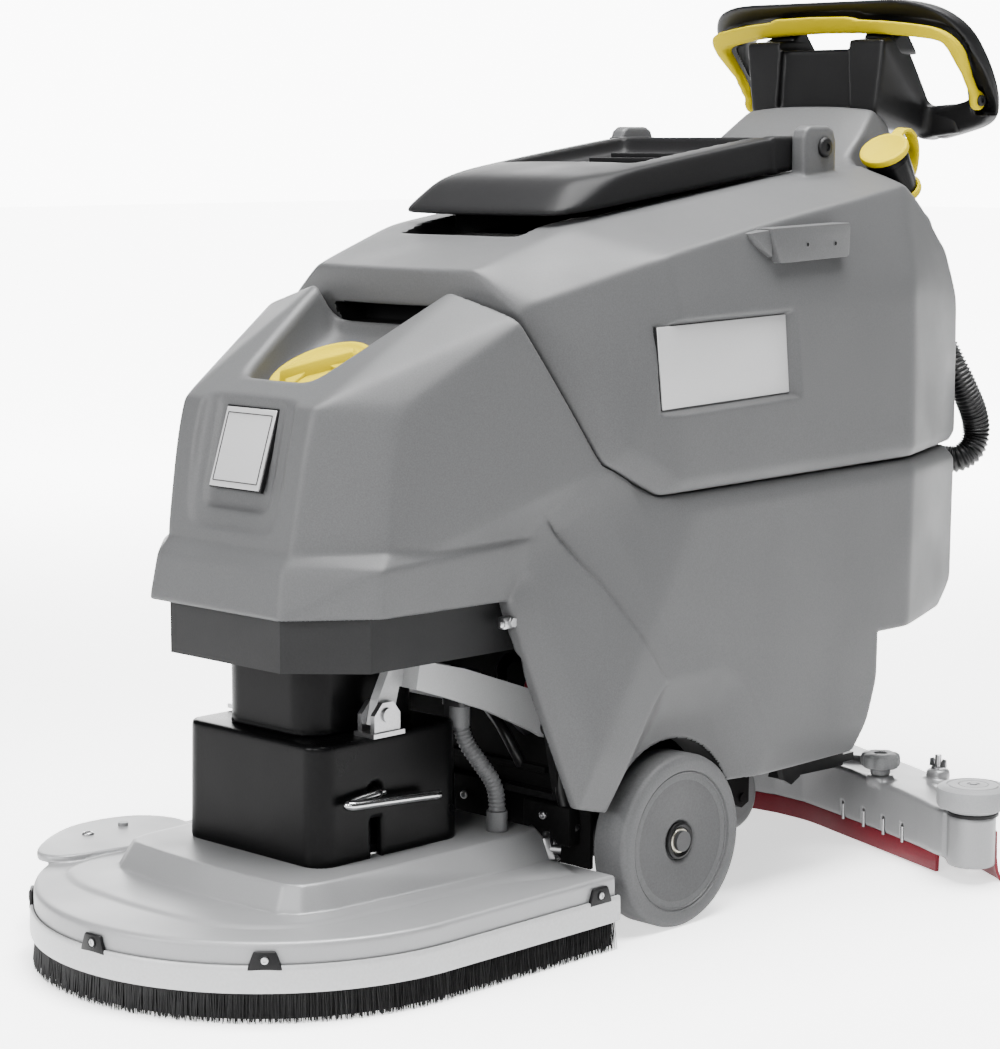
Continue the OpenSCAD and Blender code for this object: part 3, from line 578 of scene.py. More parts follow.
def build_lower_shell():
    rim = convex(mir([(107, 183, 391), (176, 268, 391), (186, 447, 391), (190, 600, 391), (103, 192, 443), (181, 262, 443), (202, 495, 458), (203, 560, 458),
                      (102, 205, 457), (171, 280, 459), (190, 503, 463), (192, 560, 463)]), 1.0)
    nose = convex(mir([(102, 206, 440), (170, 281, 440), (189, 503, 440), (190, 560, 440), (102, 205, 458), (171, 280, 460), (190, 503, 464),
                       (107, 225, 573), (107, 236, 611), (165, 300, 597), (165, 308, 611), (80, 268, 630), (114, 432, 725),
                       (199, 441, 701), (208, 443, 695), (236, 540, 533), (231, 560, 519), (206, 560, 470)]), 1.2,
                  sharp=lambda n: n[1] > 0.5 and n[2] > 0.2, ts=1.2)
    mid = convex(mir([(202, 495, 462), (210, 470, 381), (262, 504, 215), (250, 487, 163), (252, 540, 149), (264, 622, 287),
                      (233, 562, 519), (252, 618, 495), (252, 642, 496), (264, 800, 187), (252, 800, 149), (254, 975, 152),
                      (264, 990, 187), (264, 1008, 240), (264, 1010, 296), (255, 650, 497), (264, 668, 480), (255, 1010, 502), (264, 1010, 484),
                      (185, 447, 389), (185, 462, 351), (205, 477, 283)]), 1.1, sharp=lambda n: n[2] > 0.8, ts=1.5)
    rear = convex(mir([(264, 940, 296), (264, 1070, 296), (203, 1216, 296), (203, 1243, 330), (255, 940, 501), (264, 940, 483),
                       (257, 1072, 503), (264, 1078, 485), (200, 1225, 505), (203, 1245, 488)]), 1.3, sharp=lambda n: n[2] > 0.8, ts=1.5)
    f = join(join(nose, join(mid, rear, 0.4), 44), rim, 5)
    f = leg_step(f)
    seam = prism([(444.5, 703), (542.6, 535.6), (617.3, 495.6), (650, 496.5), (1072, 503), (1270, 506), (1270, 900), (444.5, 900)], 0, -300, 300, 1.2)
    f = cut(f, seam, 2)
    bays = [prism([(-84, 216), (84, 216), (140, 286), (148, 330), (148, 546), (-148, 546), (-148, 330), (-140, 286)], 2, 300, 454, 3),
            rbox(-192, 192, 420, 770, 60, 332, 10), rbox(-168, 168, 416, 476, 320, 391, 3),
            rbox(-216, 216, 786, 982, 206, 620, 10), rbox(-200, 200, 960, 1131, 330, 620, 10),
            convex(mir([(165, 410, 391), (195, 410, 283), (239, 410, 163), (245, 410, 60), (165, 545, 391), (195, 545, 283), (239, 545, 163), (245, 545, 60)]), 1.5),
            mirrored(rod((186, 651, 100), (340, 651, 100), 114, 2))]
    for g in bays:
        f = cut(f, g, 3)
    f = cut(f, rbox(-90, 90, 1206, 1290, 470, 560, 6), 2)
    arch = convex([(239, 538, 149), (239, 520, 120), (239, 626, 241), (239, 729, 238), (239, 767, 154), (239, 782, 120),
                   (270, 619, 304), (270, 727, 302), (270, 759, 284), (270, 818, 199), (270, 850, 120), (270, 500, 120)], 2.0)
    f = cut(f, mirrored(arch), 3)
    well = convex(mir([(60, 280, 592), (92, 450, 668), (66, 279, 640), (68, 276, 780), (118, 450, 780), (116, 450, 722)]), 8.0)
    f = cut(f, well, 12)
    n = np.array([0, -math.sin(math.radians(25.5)), math.cos(math.radians(25.5))])
    c = np.array([0, 340, 640.0])
    f = cut(f, rod(tuple(c - 75 * n), tuple(c + 40 * n), 49, 1.5), 3)
    # stepped recess on the front around the plate
    f = cut(f, convex(mir([(68, 180, 478), (76, 180, 500), (76, 190, 640), (68, 214.5, 478), (76, 218, 500), (76, 243.5, 611), (70, 250, 628), (60, 180, 474), (60, 213.5, 474)]), 3.0), 4)
    f = cut(f, convex(mir([(48, 180, 496), (54, 180, 504), (54, 190, 618), (48, 221, 496), (54, 223, 504), (54, 247, 612)]), 2.0), 3)
    V, Q = surface(f, (-266, 180, 140), (266, 1248, 726), 3.2 * FINE)
    ob = mesh_object("lower_shell_skin", V, Q)
    give(ob, "grey_body", "chassis", ["lower_shell"], "grey_body")
    # painted shade: near-black on the faces inside the bays
    paint_recess_shade(ob, V, Q, bays)
    return ob


def end_dir(p):
    """Point of the drain end's own drawing, in the machine's drawing."""
    a, b = math.radians(36.9), math.radians(6)
    x, y, z = p
    x, z = x * math.cos(b) + z * math.sin(b), -x * math.sin(b) + z * math.cos(b)
    y, z = y * math.cos(a) - z * math.sin(a), y * math.sin(a) + z * math.cos(a)
    return (159 + x, 1180 + y, 812 + z)


def build_upper_tank():
    pts = [(0, 441, 748), (0, 443, 709), (60, 442.5, 748), (96, 446, 709), (127, 450, 748), (122, 449, 731), (194, 478, 713), (183, 462, 703), (251, 563, 553), (238, 543, 537),
           (262, 630, 516), (253, 618, 497), (140, 583, 792), (247, 635, 762), (264, 640, 512), (258, 640, 499),
           (264, 1078, 518), (258, 1072, 505), (203, 1245, 520), (198, 1240, 508), (262, 640, 690), (262, 1074, 712),
           (203, 1245, 690), (200, 1213, 770), (180, 1165, 828), (240, 800, 792), (228, 1000, 820), (214, 1112, 836),
           (152, 1000, 851), (150, 1110, 858), (150, 1150, 845)]
    f = convex(mir(pts), 1.4, sharp=lambda n: n[2] < -0.12, ts=1.0)
    neck = convex(mir([(102, 1196, 929), (92, 1238, 912), (112, 1130, 866), (140, 1240, 800), (120, 1244, 700), (132, 1095, 850), (60, 1192, 934), (60, 1238, 914)]), 2.0)
    f = join(f, neck, 14)
    boss = prism([(984, 838), (984, 892), (988, 901), (996, 906), (1032, 906), (1041, 901), (1046, 888), (1046, 838)], 0, 137.5, 159, 1.6)
    f = join(f, mirrored(boss), 4)
    inner = convex(mir([(180, 600, 570), (228, 690, 522), (228, 1060, 527), (176, 1196, 532), (176, 1196, 690), (190, 640, 735),
                        (200, 1040, 796), (160, 1140, 796), (120, 620, 770), (128, 1040, 836), (118, 1130, 826)]), 9.0)
    f = cut(f, inner, 4)
    f = cut(f, rbox(-108, 108, 640, 960, 700, 980, 26), 5)
    # the faces inside these cuts get painted shade
    dark = [convex(mir([(98, 556, 776), (98, 640, 780), (90, 550, 840), (90, 660, 840), (90, 552, 777)]), 2), convex(mir([(95, 430, 684), (95, 500, 684), (97, 430, 706), (97, 500, 706)]), 1.5)]
    f = cut(f, dark[0], 2)
    rec = convex([(253, 605.5, 686.5), (253, 833, 691.5), (253, 842, 597), (253, 615.5, 590.5), (263, 599, 692.5), (263, 845, 696.5), (263, 856, 592), (263, 610, 583),
                  (276, 590, 700), (276, 860, 703), (276, 874, 585), (276, 603, 574)], 0.8)
    f = cut(f, mirrored(rec), 1.5)
    # grip under the front lip
    f = cut(f, dark[1], 2)
    seat = convex([(120, 1150, 900), (232, 1150, 900), (232, 1270, 800), (120, 1270, 800), (120, 1200, 768), (232, 1200, 768), (120, 1270, 730), (232, 1270, 730), (120, 1110, 882), (232, 1110, 882), (120, 1110, 900), (232, 1110, 900)], 5)
    f = cut(f, seat, 10)
    f = cut(f, rod(end_dir((0, 0, -6)), end_dir((0, 0, 95)), 31.5, 2), 5)
    lug = prism([(1224, 503), (1226, 493), (1236, 488), (1244, 492), (1245, 530), (1224, 530)], 0, -60, 60, 1.5)
    f = join(f, lug, 3)
    f = join(f, rod((60, 1230, 552), (60, 1262, 552), 20, 1.5), 4)
    f = cut(f, mirrored(rod((61, 1236, 500), (100, 1236, 500), 16, 1)), 2)
    f = cut(f, rod((-300, 1022, 880), (300, 1022, 880), 6.5, 0.6), 1)
    V, Q = surface(f, (-266, 438, 484), (266, 1264, 936), 3.2 * FINE)
    ob = mesh_object("upper_tank_skin", V, Q)
    give(ob, "grey_body", "tank", ["upper_tank"], "grey_body")
    # painted shade: near-black on the faces inside the well and the grip recess
    paint_recess_shade(ob, V, Q, dark)
    return ob


build_lower_shell()
build_upper_tank()


# ------------------------------------------------------------ mesh helpers
def bm_data(bm):
    bm.verts.index_update()
    V = [tuple(v.co) for v in bm.verts]
    F = [[v.index for v in f.verts] for f in bm.faces]
    bm.free()
    return V, F


def soften(bm, width, seg=2, angle=28):
    es = [e for e in bm.edges if len(e.link_faces) == 2 and e.calc_face_angle(0) > math.radians(angle)]
    if es and width > 0:
        bmesh.ops.bevel(bm, geom=es, offset=width, segments=seg, profile=0.5, affect="EDGES", clamp_overlap=True)


def plate(outline, axis, a0, a1, bevel=1.0, seg=2):
    """Outline pushed along an axis: 0 draws in S-Z, 1 in X-Z, 2 in X-S."""
    bm = bmesh.new()
    rows = []
    for a in (a0, a1):
        row = []
        for u, v in outline:
            c = [(a, u, v), (u, a, v), (u, v, a)][axis]
            row.append(bm.verts.new(c))
        rows.append(row)
    n = len(outline)
    bm.faces.new(rows[0][::-1])
    bm.faces.new(rows[1])
    for i in range(n):
        bm.faces.new((rows[0][i], rows[0][(i + 1) % n], rows[1][(i + 1) % n], rows[1][i]))
    bmesh.ops.recalc_face_normals(bm, faces=bm.faces[:])
    soften(bm, bevel, seg)
    return bm_data(bm)


def block(x0, x1, s0, s1, z0, z1, bevel=1.0, seg=2):
    return plate([(x0, s0), (x1, s0), (x1, s1), (x0, s1)], 2, z0, z1, bevel, seg)


def solid(pts, bevel=1.0, seg=2):
    """Convex solid through pts with bevelled edges."""
    bm = bmesh.new()
    for p in pts:
        bm.verts.new(p)
    r = bmesh.ops.convex_hull(bm, input=bm.verts[:])
    bmesh.ops.delete(bm, geom=[v for v in bm.verts if not v.link_faces], context="VERTS")
    bmesh.ops.dissolve_limit(bm, angle_limit=math.radians(1.5), verts=bm.verts[:], edges=bm.edges[:])
    bmesh.ops.recalc_face_normals(bm, faces=bm.faces[:])
    soften(bm, bevel, seg)
    return bm_data(bm)


def basis(axis):
    z = Vector(axis).normalized()
    x = z.orthogonal().normalized() if abs(z.z) < 0.95 else Vector((1, 0, 0))
    x = (x - z * x.dot(z)).normalized()
    return x, z.cross(x), z


def lathe(profile, centre, axis, n=64):
    """Profile of (radius, height) turned round an axis; closed where it touches the axis."""
    x, y, z = basis(axis)
    c = Vector(centre)
    V, F = [], []
    ring = []
    for r, h in profile:
        if r < 1e-6:
            ring.append([len(V)])
            V.append(tuple(c + z * h))
        else:
            row = []
            for k in range(n):
                a = 2 * math.pi * k / n
                row.append(len(V))
                V.append(tuple(c + x * (r * math.cos(a)) + y * (r * math.sin(a)) + z * h))
            ring.append(row)
    for a, b in zip(ring[:-1], ring[1:]):
        for k in range(n):
            k2 = (k + 1) % n
            if len(a) == 1 and len(b) == 1:
                continue
            if len(a) == 1:
                F.append([a[0], b[k2], b[k]])
            elif len(b) == 1:
                F.append([a[k], a[k2], b[0]])
            else:
                F.append([a[k], a[k2], b[k2], b[k]])
    return V, F


def ringed(profile, centre, axis, n=64):
    """Closed profile turned round an axis, as a ring."""
    return lathe(list(profile) + [profile[0]], centre, axis, n)


def weld(V, F):
    bm = bmesh.new()
    vs = [bm.verts.new(v) for v in V]
    for f in F:
        try:
            bm.faces.new([vs[i] for i in f])
        except ValueError:
            pass
    bmesh.ops.remove_doubles(bm, verts=bm.verts[:], dist=0.01)
    bmesh.ops.recalc_face_normals(bm, faces=bm.faces[:])
    return bm_data(bm)


def tube(path, radius, n=14, closed=False):
    """Round bar along a path; radius is a number or one for each point."""
    P = [Vector(p) for p in path]
    m = len(P)
    R = radius if isinstance(radius, (list, tuple)) else [radius] * m
    T = []
    for i in range(m):
        a = P[i - 1] if (i > 0 or closed) else P[i]
        b = P[(i + 1) % m] if (i < m - 1 or closed) else P[i]
        T.append((b - a).normalized())
    u = T[0].orthogonal().normalized()
    V, F = [], []
    for i in range(m):
        u = (u - T[i] * u.dot(T[i])).normalized()
        v = T[i].cross(u)
        for k in range(n):
            a = 2 * math.pi * k / n
            V.append(tuple(P[i] + (u * math.cos(a) + v * math.sin(a)) * R[i]))
    for i in range(m if closed else m - 1):
        j = (i + 1) % m
        for k in range(n):
            k2 = (k + 1) % n
            F.append([i * n + k, i * n + k2, j * n + k2, j * n + k])
    if not closed:
        F.append([k for k in range(n)][::-1])
        F.append([(m - 1) * n + k for k in range(n)])
    return V, F


def merge(*parts):
    V, F = [], []
    for v, f in parts:
        o = len(V)
        V += list(v)
        F += [[i + o for i in q] for q in f]
    return V, F


def flip_x(part):
    V, F = part
    return [(-x, s, z) for x, s, z in V], [q[::-1] for q in F]


def pair(part):
    return merge(part, flip_x(part))


def shift(part, d):
    return [(v[0] + d[0], v[1] + d[1], v[2] + d[2]) for v in part[0]], part[1]


def turned(part, centre, axis, deg):
    m = Matrix.Rotation(math.radians(deg), 3, Vector(axis))
    c = Vector(centre)
    return [tuple(c + m @ (Vector(v) - c)) for v in part[0]], part[1]


def show(name, part, mat, body, nodes=(), angle=38, slot=None):
    ob = mesh_object(name, part[0], part[1])
    ob.data.set_sharp_from_angle(angle=math.radians(angle))
    return give(ob, mat, body, nodes, slot)


def screw(centre, axis, r=5.0, h=3.0, recess=True):
    """Domed screw head with a socket."""
    rr = r * 0.5
    prof = [(r, 0), (r, h * 0.45), (r * 0.9, h * 0.75), (r * 0.7, h * 0.95), (rr, h)]
    if recess:
        prof += [(rr, h * 0.35), (0, h * 0.35)]
    else:
        prof += [(0, h * 1.02)]
    return lathe([(0, 0)] + prof, centre, axis, 20)


def hexhead(centre, axis, r=7.0, h=5.0):
    x, y, z = basis(axis)
    c = Vector(centre)
    bm = bmesh.new()
    a = [bm.verts.new(c + x * (r * math.cos(k * math.pi / 3)) + y * (r * math.sin(k * math.pi / 3))) for k in range(6)]
    b = [bm.verts.new(c + z * h + x * (r * math.cos(k * math.pi / 3)) + y * (r * math.sin(k * math.pi / 3))) for k in range(6)]
    bm.faces.new(a[::-1])
    bm.faces.new(b)
    for k in range(6):
        bm.faces.new((a[k], a[(k + 1) % 6], b[(k + 1) % 6], b[k]))
    soften(bm, r * 0.12, 2)
    return bm_data(bm)


def corrugated(path, r_out, depth, pitch, n=20, per=6):
    """Ribbed hose along a path."""
    P = smooth_line(path, 24)
    P = [Vector(p) for p in P]
    acc = [0.0]
    for a, b in zip(P[:-1], P[1:]):
        acc.append(acc[-1] + (b - a).length)
    total = acc[-1]
    m = int(total / pitch) * per
    out, rad = [], []
    j = 0
    for i in range(m + 1):
        d = total * i / m
        while j < len(acc) - 2 and acc[j + 1] < d:
            j += 1
        t = (d - acc[j]) / max(acc[j + 1] - acc[j], 1e-9)
        out.append(P[j].lerp(P[j + 1], t))
        ph = (i % per) / per
        rad.append(r_out - depth * (0.5 - 0.5 * math.cos(2 * math.pi * ph)) ** 1.0)
    return tube(out, rad, n)


def line_length(path):
    return sum((Vector(b) - Vector(a)).length for a, b in zip(path[:-1], path[1:]))


# ------------------------------------------------------------ lid, console, handle
def rect2(P, c, h, r, u=0, v=1):
    qa = np.abs(P[:, u] - c[0]) - (h[0] - r)
    qb = np.abs(P[:, v] - c[1]) - (h[1] - r)
    return np.sqrt(np.maximum(qa, 0) ** 2 + np.maximum(qb, 0) ** 2) + np.minimum(np.maximum(qa, qb), 0) - r


def build_lid():
    f = convex(mir([(128, 586, 801), (128, 586, 808), (112, 579, 801), (112, 579, 807), (110, 622, 843), (100, 640, 851), (104, 700, 861), (134, 690, 856), (136, 958, 894), (136, 984, 890), (136, 987, 850.5), (139, 620, 806), (137, 606, 812)]), 2.6)
    arm = prism([(955, 847), (1000, 853), (1030, 867), (1037, 876), (1036, 886), (1026, 893), (1010, 894), (955, 893)], 0, 118, 135, 1.4)
    f = join(f, mirrored(arm), 4)
    f = cut(f, convex(mir([(106, 735, 846), (106, 950, 872), (118, 722, 905), (118, 962, 940)]), 4.0), 2)
    f = cut(f, convex(mir([(112, 630, 800), (118, 960, 844), (104, 960, 856), (100, 660, 820), (112, 630, 780), (118, 960, 790)]), 2), 2)
    # groove round the foot
    f = cut(f, lambda P: np.abs((P[:, 2] - 806) - (P[:, 1] - 620) * 0.131) - 1.2 + np.where(np.abs(P[:, 0]) > 131, 0, 50) + np.where(P[:, 1] < 640, 50, 0), 1.0)
    f = cut(f, rod((-200, 1022, 880), (200, 1022, 880), 6.5, 0.6), 1)
    ob = field_object("lid_skin", f, (-142, 576, 796), (142, 1040, 897), 3.3 * FINE)
    give(ob, "lid_black", "lid", ["lid"], "black_plastic")
    ribs = []
    for x in (34, 60, 86):
        for s, z0 in ((596, 808), ):
            ribs.append(solid([(x - 1.6, s, z0 + 5), (x + 1.6, s, z0 + 5), (x - 1.6, s + 20, z0 + 19.6), (x + 1.6, s + 20, z0 + 19.6),
                               (x - 1.6, s, z0 + 3), (x + 1.6, s, z0 + 3), (x - 1.6, s + 22, z0 + 14), (x + 1.6, s + 22, z0 + 14)], 0.5, 1))
    for k, s in enumerate((770, 815, 860, 900)):
        z = 846 + (s - 712) * 30 / 218.0
        ribs.append(block(-78, 88, s - 3, s + 3, z - 5, z + 1.2, 0.8))
    show("lid_ribs", merge(*ribs), "lid_black", "lid")


material("lid_black", (0.014, 0.014, 0.0146), 0.5, grain=600, bump=0.2, var=0.2, spec=0.16)


def sym(pts):
    """Closed outline from its +X half."""
    return list(pts) + [(-x, z) for x, z in pts[::-1]]


def rim_line(z):
    """How far back the handle's loop stands at height z: it leans forward and bows."""
    d = np.maximum(z - 930, 0)
    return 1318 - 0.33 * (z - 930) - 0.0030 * d * d


def rim_slope(z):
    return -0.33 - 0.0060 * np.maximum(z - 930, 0)


BAR_Z = [900, 939, 975, 1000, 1012, 1030, 1042, 1060]
BAR_S = [1331, 1303, 1276, 1252, 1239, 1218, 1202, 1178]


def bar_line(z):
    return np.interp(z, BAR_Z, BAR_S).astype(np.float32)


def panel_dir(p):
    """Point of the panel's upright drawing, on the sloping back of the console."""
    a = math.radians(29)
    d, e = p[1] - 1331, p[2] - 965
    return (p[0], 1307 + d * math.cos(a) - e * math.sin(a), 960 + d * math.sin(a) + e * math.cos(a))


def on_panel(part):
    return [panel_dir(p) for p in part[0]], part[1]


def build_handle():
    out = smooth_line([(110, 1066), (140, 1064), (168, 1057), (188, 1044), (200, 1026), (205, 1000), (207, 965), (205, 938), (198, 919), (182, 907), (150, 898), (118, 891), (100, 889)], 5)
    inn = smooth_line([(106, 1034), (128, 1032), (150, 1024), (166, 1009), (174, 990), (177, 965), (176, 951), (170, 942), (160, 938), (138, 934), (118, 931), (100, 931)], 5)
    go, gi = poly2(sym(out)), poly2(sym(inn))

    def f(P):
        x, z = np.abs(P[:, 0]), P[:, 2]
        c = 1 / np.sqrt(1 + rim_slope(z) ** 2)
        d = np.abs(P[:, 1] - rim_line(z)) * c - 13.5
        return softmax([go(x, z), -gi(x, z), d], 3.4)
    cl = [(185.2, 941), (185.2, 955), (185.6, 972), (187.5, 990), (188.5, 1004), (184, 1015), (172, 1021.5), (150, 1025.5), (112, 1030), (76, 1032.5), (64, 1033.5), (56, 1035), (0, 1036)]
    cl = smooth_line(cl, 4)

    def bar(P):
        x, z = np.abs(P[:, 0]), P[:, 2]
        d = np.full(len(P), 1e9, np.float32)
        for a, b in zip(cl[:-1], cl[1:]):
            ex, ez = b[0] - a[0], b[1] - a[1]
            wx, wz = x - a[0], z - a[1]
            t = np.clip((wx * ex + wz * ez) / (ex * ex + ez * ez), 0, 1)
            d = np.minimum(d, (wx - ex * t) ** 2 + (wz - ez * t) ** 2)
        half = np.where(x < 54, 10.2, np.where(x < 70, 10.2 - (x - 54) * 0.1, 8.6))
        half = half * np.clip((z - 972) / 26.0, 0, 1) + 4.7 * (1 - np.clip((z - 972) / 26.0, 0, 1))
        m = (bar_line(z + 4) - bar_line(z - 4)) / 8.0
        q = np.abs(P[:, 1] - bar_line(z)) / np.sqrt(1 + m * m)
        return softmax([np.sqrt(d) - half, q - 6.8], 1.8)

    def squeezed(deg):
        """The bar's shape after it is pulled towards the rim, with room to spare."""
        co, si = math.cos(math.radians(deg)), math.sin(math.radians(deg))

        def h(P):
            y, z = P[:, 1] - 1303, P[:, 2] - 939
            return bar(np.stack([P[:, 0], 1303 + y * co - z * si, 939 + y * si + z * co], 1)) - 1.6
        return h
    g = cut(f, rbox(-112, 112, 1290, 1360, 860, 936, 2), 2)
    ear = mirrored(prism([(1297, 930), (1313, 918), (1330, 922), (1330, 962), (1313, 966), (1290, 962)], 0, 175, 197, 2))
    g = join(g, ear, 4)

    def post(P):
        x, z = np.abs(P[:, 0]), P[:, 2]
        c = 1 / np.sqrt(1 + rim_slope(z) ** 2)
        return softmax([np.abs(x - 81) - 24, 1231 + np.maximum(z - 1020, 0) * 0.1 - P[:, 1], P[:, 1] - rim_line(z) - 4, 998 - z, z - 1046], 1.5)
    g = join(g, post, 5)
    g = cut(g, mirrored(rod((180, 1303, 939), (190.5, 1303, 939), 17.5, 0.6)), 1)
    g = cut(g, lambda P: softmax([179.2 - np.abs(P[:, 0]), P[:, 1] - bar_line(P[:, 2]) - 13, 921 - P[:, 2], P[:, 2] - 1004], 1), 1)
    for deg in (0, 1.4, 2.8, 4.2):
        g = cut(g, squeezed(deg), 0.8)
    ob = field_object("handle_rim_skin", g, (-210, 1190, 884), (210, 1347, 1070), 3.0 * FINE)
    give(ob, "black_plastic", "tank", ["handle_rim"], "black_plastic")
    # console
    c = convex(mir([(102, 1200, 924), (113, 1201, 1016), (84, 1212, 906), (96, 1266, 1022), (100, 1322, 936), (102, 1334, 892), (90, 1336, 898)]), 1.6)
    c = cut(c, convex(mir([(60, 1180, 930), (55, 1180, 1004), (60, 1209, 930), (55, 1209, 1004)]), 1.2), 1.5)
    c = cut(c, convex(mir([(57, 1180, 1005), (57, 1330, 1005), (57, 1180, 1040), (57, 1330, 1040)]), 1.5), 2)
    c = cut(c, convex([panel_dir(p) for p in mir([(80, 1318, 935), (80, 1360, 935), (88, 1318, 995), (88, 1360, 995)])], 1.2), 1.5)
    arm = mirrored(convex([(94, 1306, 891), (94, 1342, 891), (150, 1310, 898), (150, 1340, 898), (94, 1304, 932), (94, 1330, 932), (150, 1306, 936), (150, 1328, 936)], 2))
    c = join(c, arm, 12)
    ob = field_object("console_skin", c, (-152, 1196, 884), (152, 1347, 1026), 3.0 * FINE)
    give(ob, "black_plastic", "tank", ["console_housing"], "black_plastic")
    # drive bar
    tab = prism([(1303 + 12.5 * math.cos(a), 939 + 12.5 * math.sin(a)) for a in [math.radians(k) for k in range(0, 360, 20)]], 0, 180.4, 189.9, 1.2)
    g = join(bar, mirrored(tab), 3)
    g = cut(g, rod((-300, 1303, 939), (300, 1303, 939), 4.0, 0.5), 0.8)
    ob = field_object("drive_bar_skin", g, (-200, 1176, 922), (200, 1318, 1052), 2.6 * FINE)
    give(ob, "yellow_plastic", "drive_bar", ["drive_bar"], "yellow_plastic")
    ps = merge(lathe([(0, 176.2), (3.9, 176.2), (3.9, 191.0), (7.4, 190.2), (7.4, 192.4), (6.2, 194), (3.2, 194), (3.2, 191.6), (0, 191.6)], (0, 1303, 939), (1, 0, 0), 24))
    show("pivot_screws", pair(ps), "black_steel", "tank", ["console_screws"])
    # panel and controls
    pan = solid(mir([(79, 1319, 937), (79, 1331, 937), (87, 1319, 993), (87, 1331, 993)]), 1.5)
    rims = [ringed([(10.3, 0), (14, 0), (14, 1.2), (13.4, 1.8), (10.9, 1.8), (10.3, 1.2)], (x, 1330.2, 965), (0, 1, 0), 40) for x in (-62, 0, 62)]
    marks = [block(-30 + k * 12 - 3, -30 + k * 12 + 3, 1330.2, 1331.8, 944, 949, 0.5) for k in range(6)]
    show("panel_face", on_panel(merge(pan, *[weld(*r) for r in rims], *marks)), "black_steel", "tank", ["control_panel"])
    key = merge(lathe([(0, 1322), (9.8, 1322), (9.8, 1333.5), (9, 1334.4), (0, 1334.4)], (-62, 0, 965), (0, 1, 0), 36), plate([(1333, 956), (1343.5, 957), (1344.3, 960), (1344.3, 970), (1343.5, 973), (1333, 974)], 0, -63.6, -60.4, 0.8))
    show("key_face", on_panel(key), "steel", "key_switch", ["key_switch"])
    lob = [(0, 1322), (9.8, 1322), (9.8, 1331.4), (17, 1331.6), (17, 1333), (16, 1340.5), (14.8, 1341.6), (0, 1341.6)]
    dial = merge(lathe(lob, (0, 0, 965), (0, 1, 0), 48), block(-1.4, 1.4, 1340.6, 1342.6, 967, 979, 0.5))
    fl = [turned(block(-1.5, 1.5, 1333.5, 1340.6, 980.2, 982.2, 0.6), (0, 1330, 965), (0, 1, 0), k * 30) for k in range(12)]
    show("dial_face", on_panel(merge(dial, *fl)), "black_shiny", "water_dial", ["water_dial"])
    show("button_face", on_panel(lathe([(0, 1323), (9.8, 1323), (9.8, 1335.4), (9.2, 1336.6), (8, 1337), (6.5, 1336.6), (0, 1336.0)], (62, 0, 965), (0, 1, 0), 40)), "yellow_plastic", "start_button", ["start_button"])


def build_tank_trim():
    # stiff pads on the tank's sides, two small holes in each
    ring = [(797, 788.5), (806, 789), (941, 792.5), (943, 790), (941, 754.5), (938, 753), (816, 748.5), (812, 750)]
    pad = plate(ring, 0, 226, 262, 1.3, 2)
    tab = solid([(226, 768, 783), (248, 776, 783.5), (258, 800, 787), (226, 800, 788), (226, 782, 768), (246, 786, 769), (256, 806, 756), (226, 812, 751)], 1.2)
    rims = [weld(*ringed([(2.2, 0), (3.9, 0), (3.9, 0.5), (3.3, 0.8), (2.5, 0.8), (2.2, 0.4)], (261.8, s, 769), (1, 0, 0), 20)) for s in (862, 914)]
    show("side_pads", pair(merge(pad, tab, *rims)), "grey_body", "tank")
    # near-black discs in the pads' holes are painted shade
    hole_shade_discs = [lathe([(0, 0), (2.3, 0), (2.3, 0.4), (0, 0.4)], (261.9, s, 769), (1, 0, 0), 18) for s in (862, 914)]
    show("side_pad_holes", pair(merge(*hole_shade_discs)), "inside_dark", "tank")
    # plain plates in their seats
    sp = [(607.5, 684.5), (831, 689.5), (840, 599), (617.5, 592.5)]
    face = plate(sp, 0, 251, 255.6, 0.7)
    cx = np.mean(np.array(sp), axis=0)
    inner = [tuple(cx + (np.array(p) - cx) * 0.965) for p in sp]
    show("side_plate_faces", pair(face), "plate", "tank", ["side_plates"])
    edge = [tuple(cx + (np.array(p) - cx) * 1.012) for p in sp]
    show("side_plate_rims", pair(plate(edge, 0, 250, 254.4, 0.4, 1)), "black_plastic", "tank")
    np_pts = lambda w, e: [(w, 209.0 + e, 518.6), (w, 211.8 + e, 517.6), (w, 239.6 + e, 605.0), (w, 242.4 + e, 604.0)]
    body = solid(mir([(42, 215.6, 517.6), (42, 221, 516.5), (42, 243.8, 605.2), (42, 249.5, 603.4)]), 0.6)
    face = solid(mir([(40.4, 214.2, 519.8), (40.4, 218, 519.0), (40.4, 242.0, 603.6), (40.4, 246, 602.4)]), 0.5, 1)
    show("nose_plate_face", face, "plate", "chassis", ["nose_plate"])
    show("nose_plate_edge", body, "black_plastic", "chassis")
    # thin line let into the face near its edge
    lines = []
    q = [(36, 526, 0), (36, 597.6, 0), (-36, 597.6, 0), (-36, 526, 0)]
    at = lambda x, z: (x, 213.95 + (z - 519.8) * (242.0 - 214.2) / (603.6 - 519.8), z)
    for (x0, z0, _), (x1, z1, _) in zip(q, q[1:] + q[:1]):
        lines.append(tube([at(x0, z0), at(x1, z1)], 0.55, 8))
    show("nose_plate_line", merge(*lines), "black_plastic", "chassis")
    # lid bolts
    b = lathe([(0, 118), (6.3, 118), (6.3, 159.4), (12.5, 159.4), (12.5, 161.5), (11, 163.6), (9, 164.4), (5, 164.6), (5, 162.4), (0, 162.4)], (0, 1022, 880), (1, 0, 0), 30)
    show("lid_bolt_heads", pair(b), "black_steel", "tank", ["lid_bolts"])


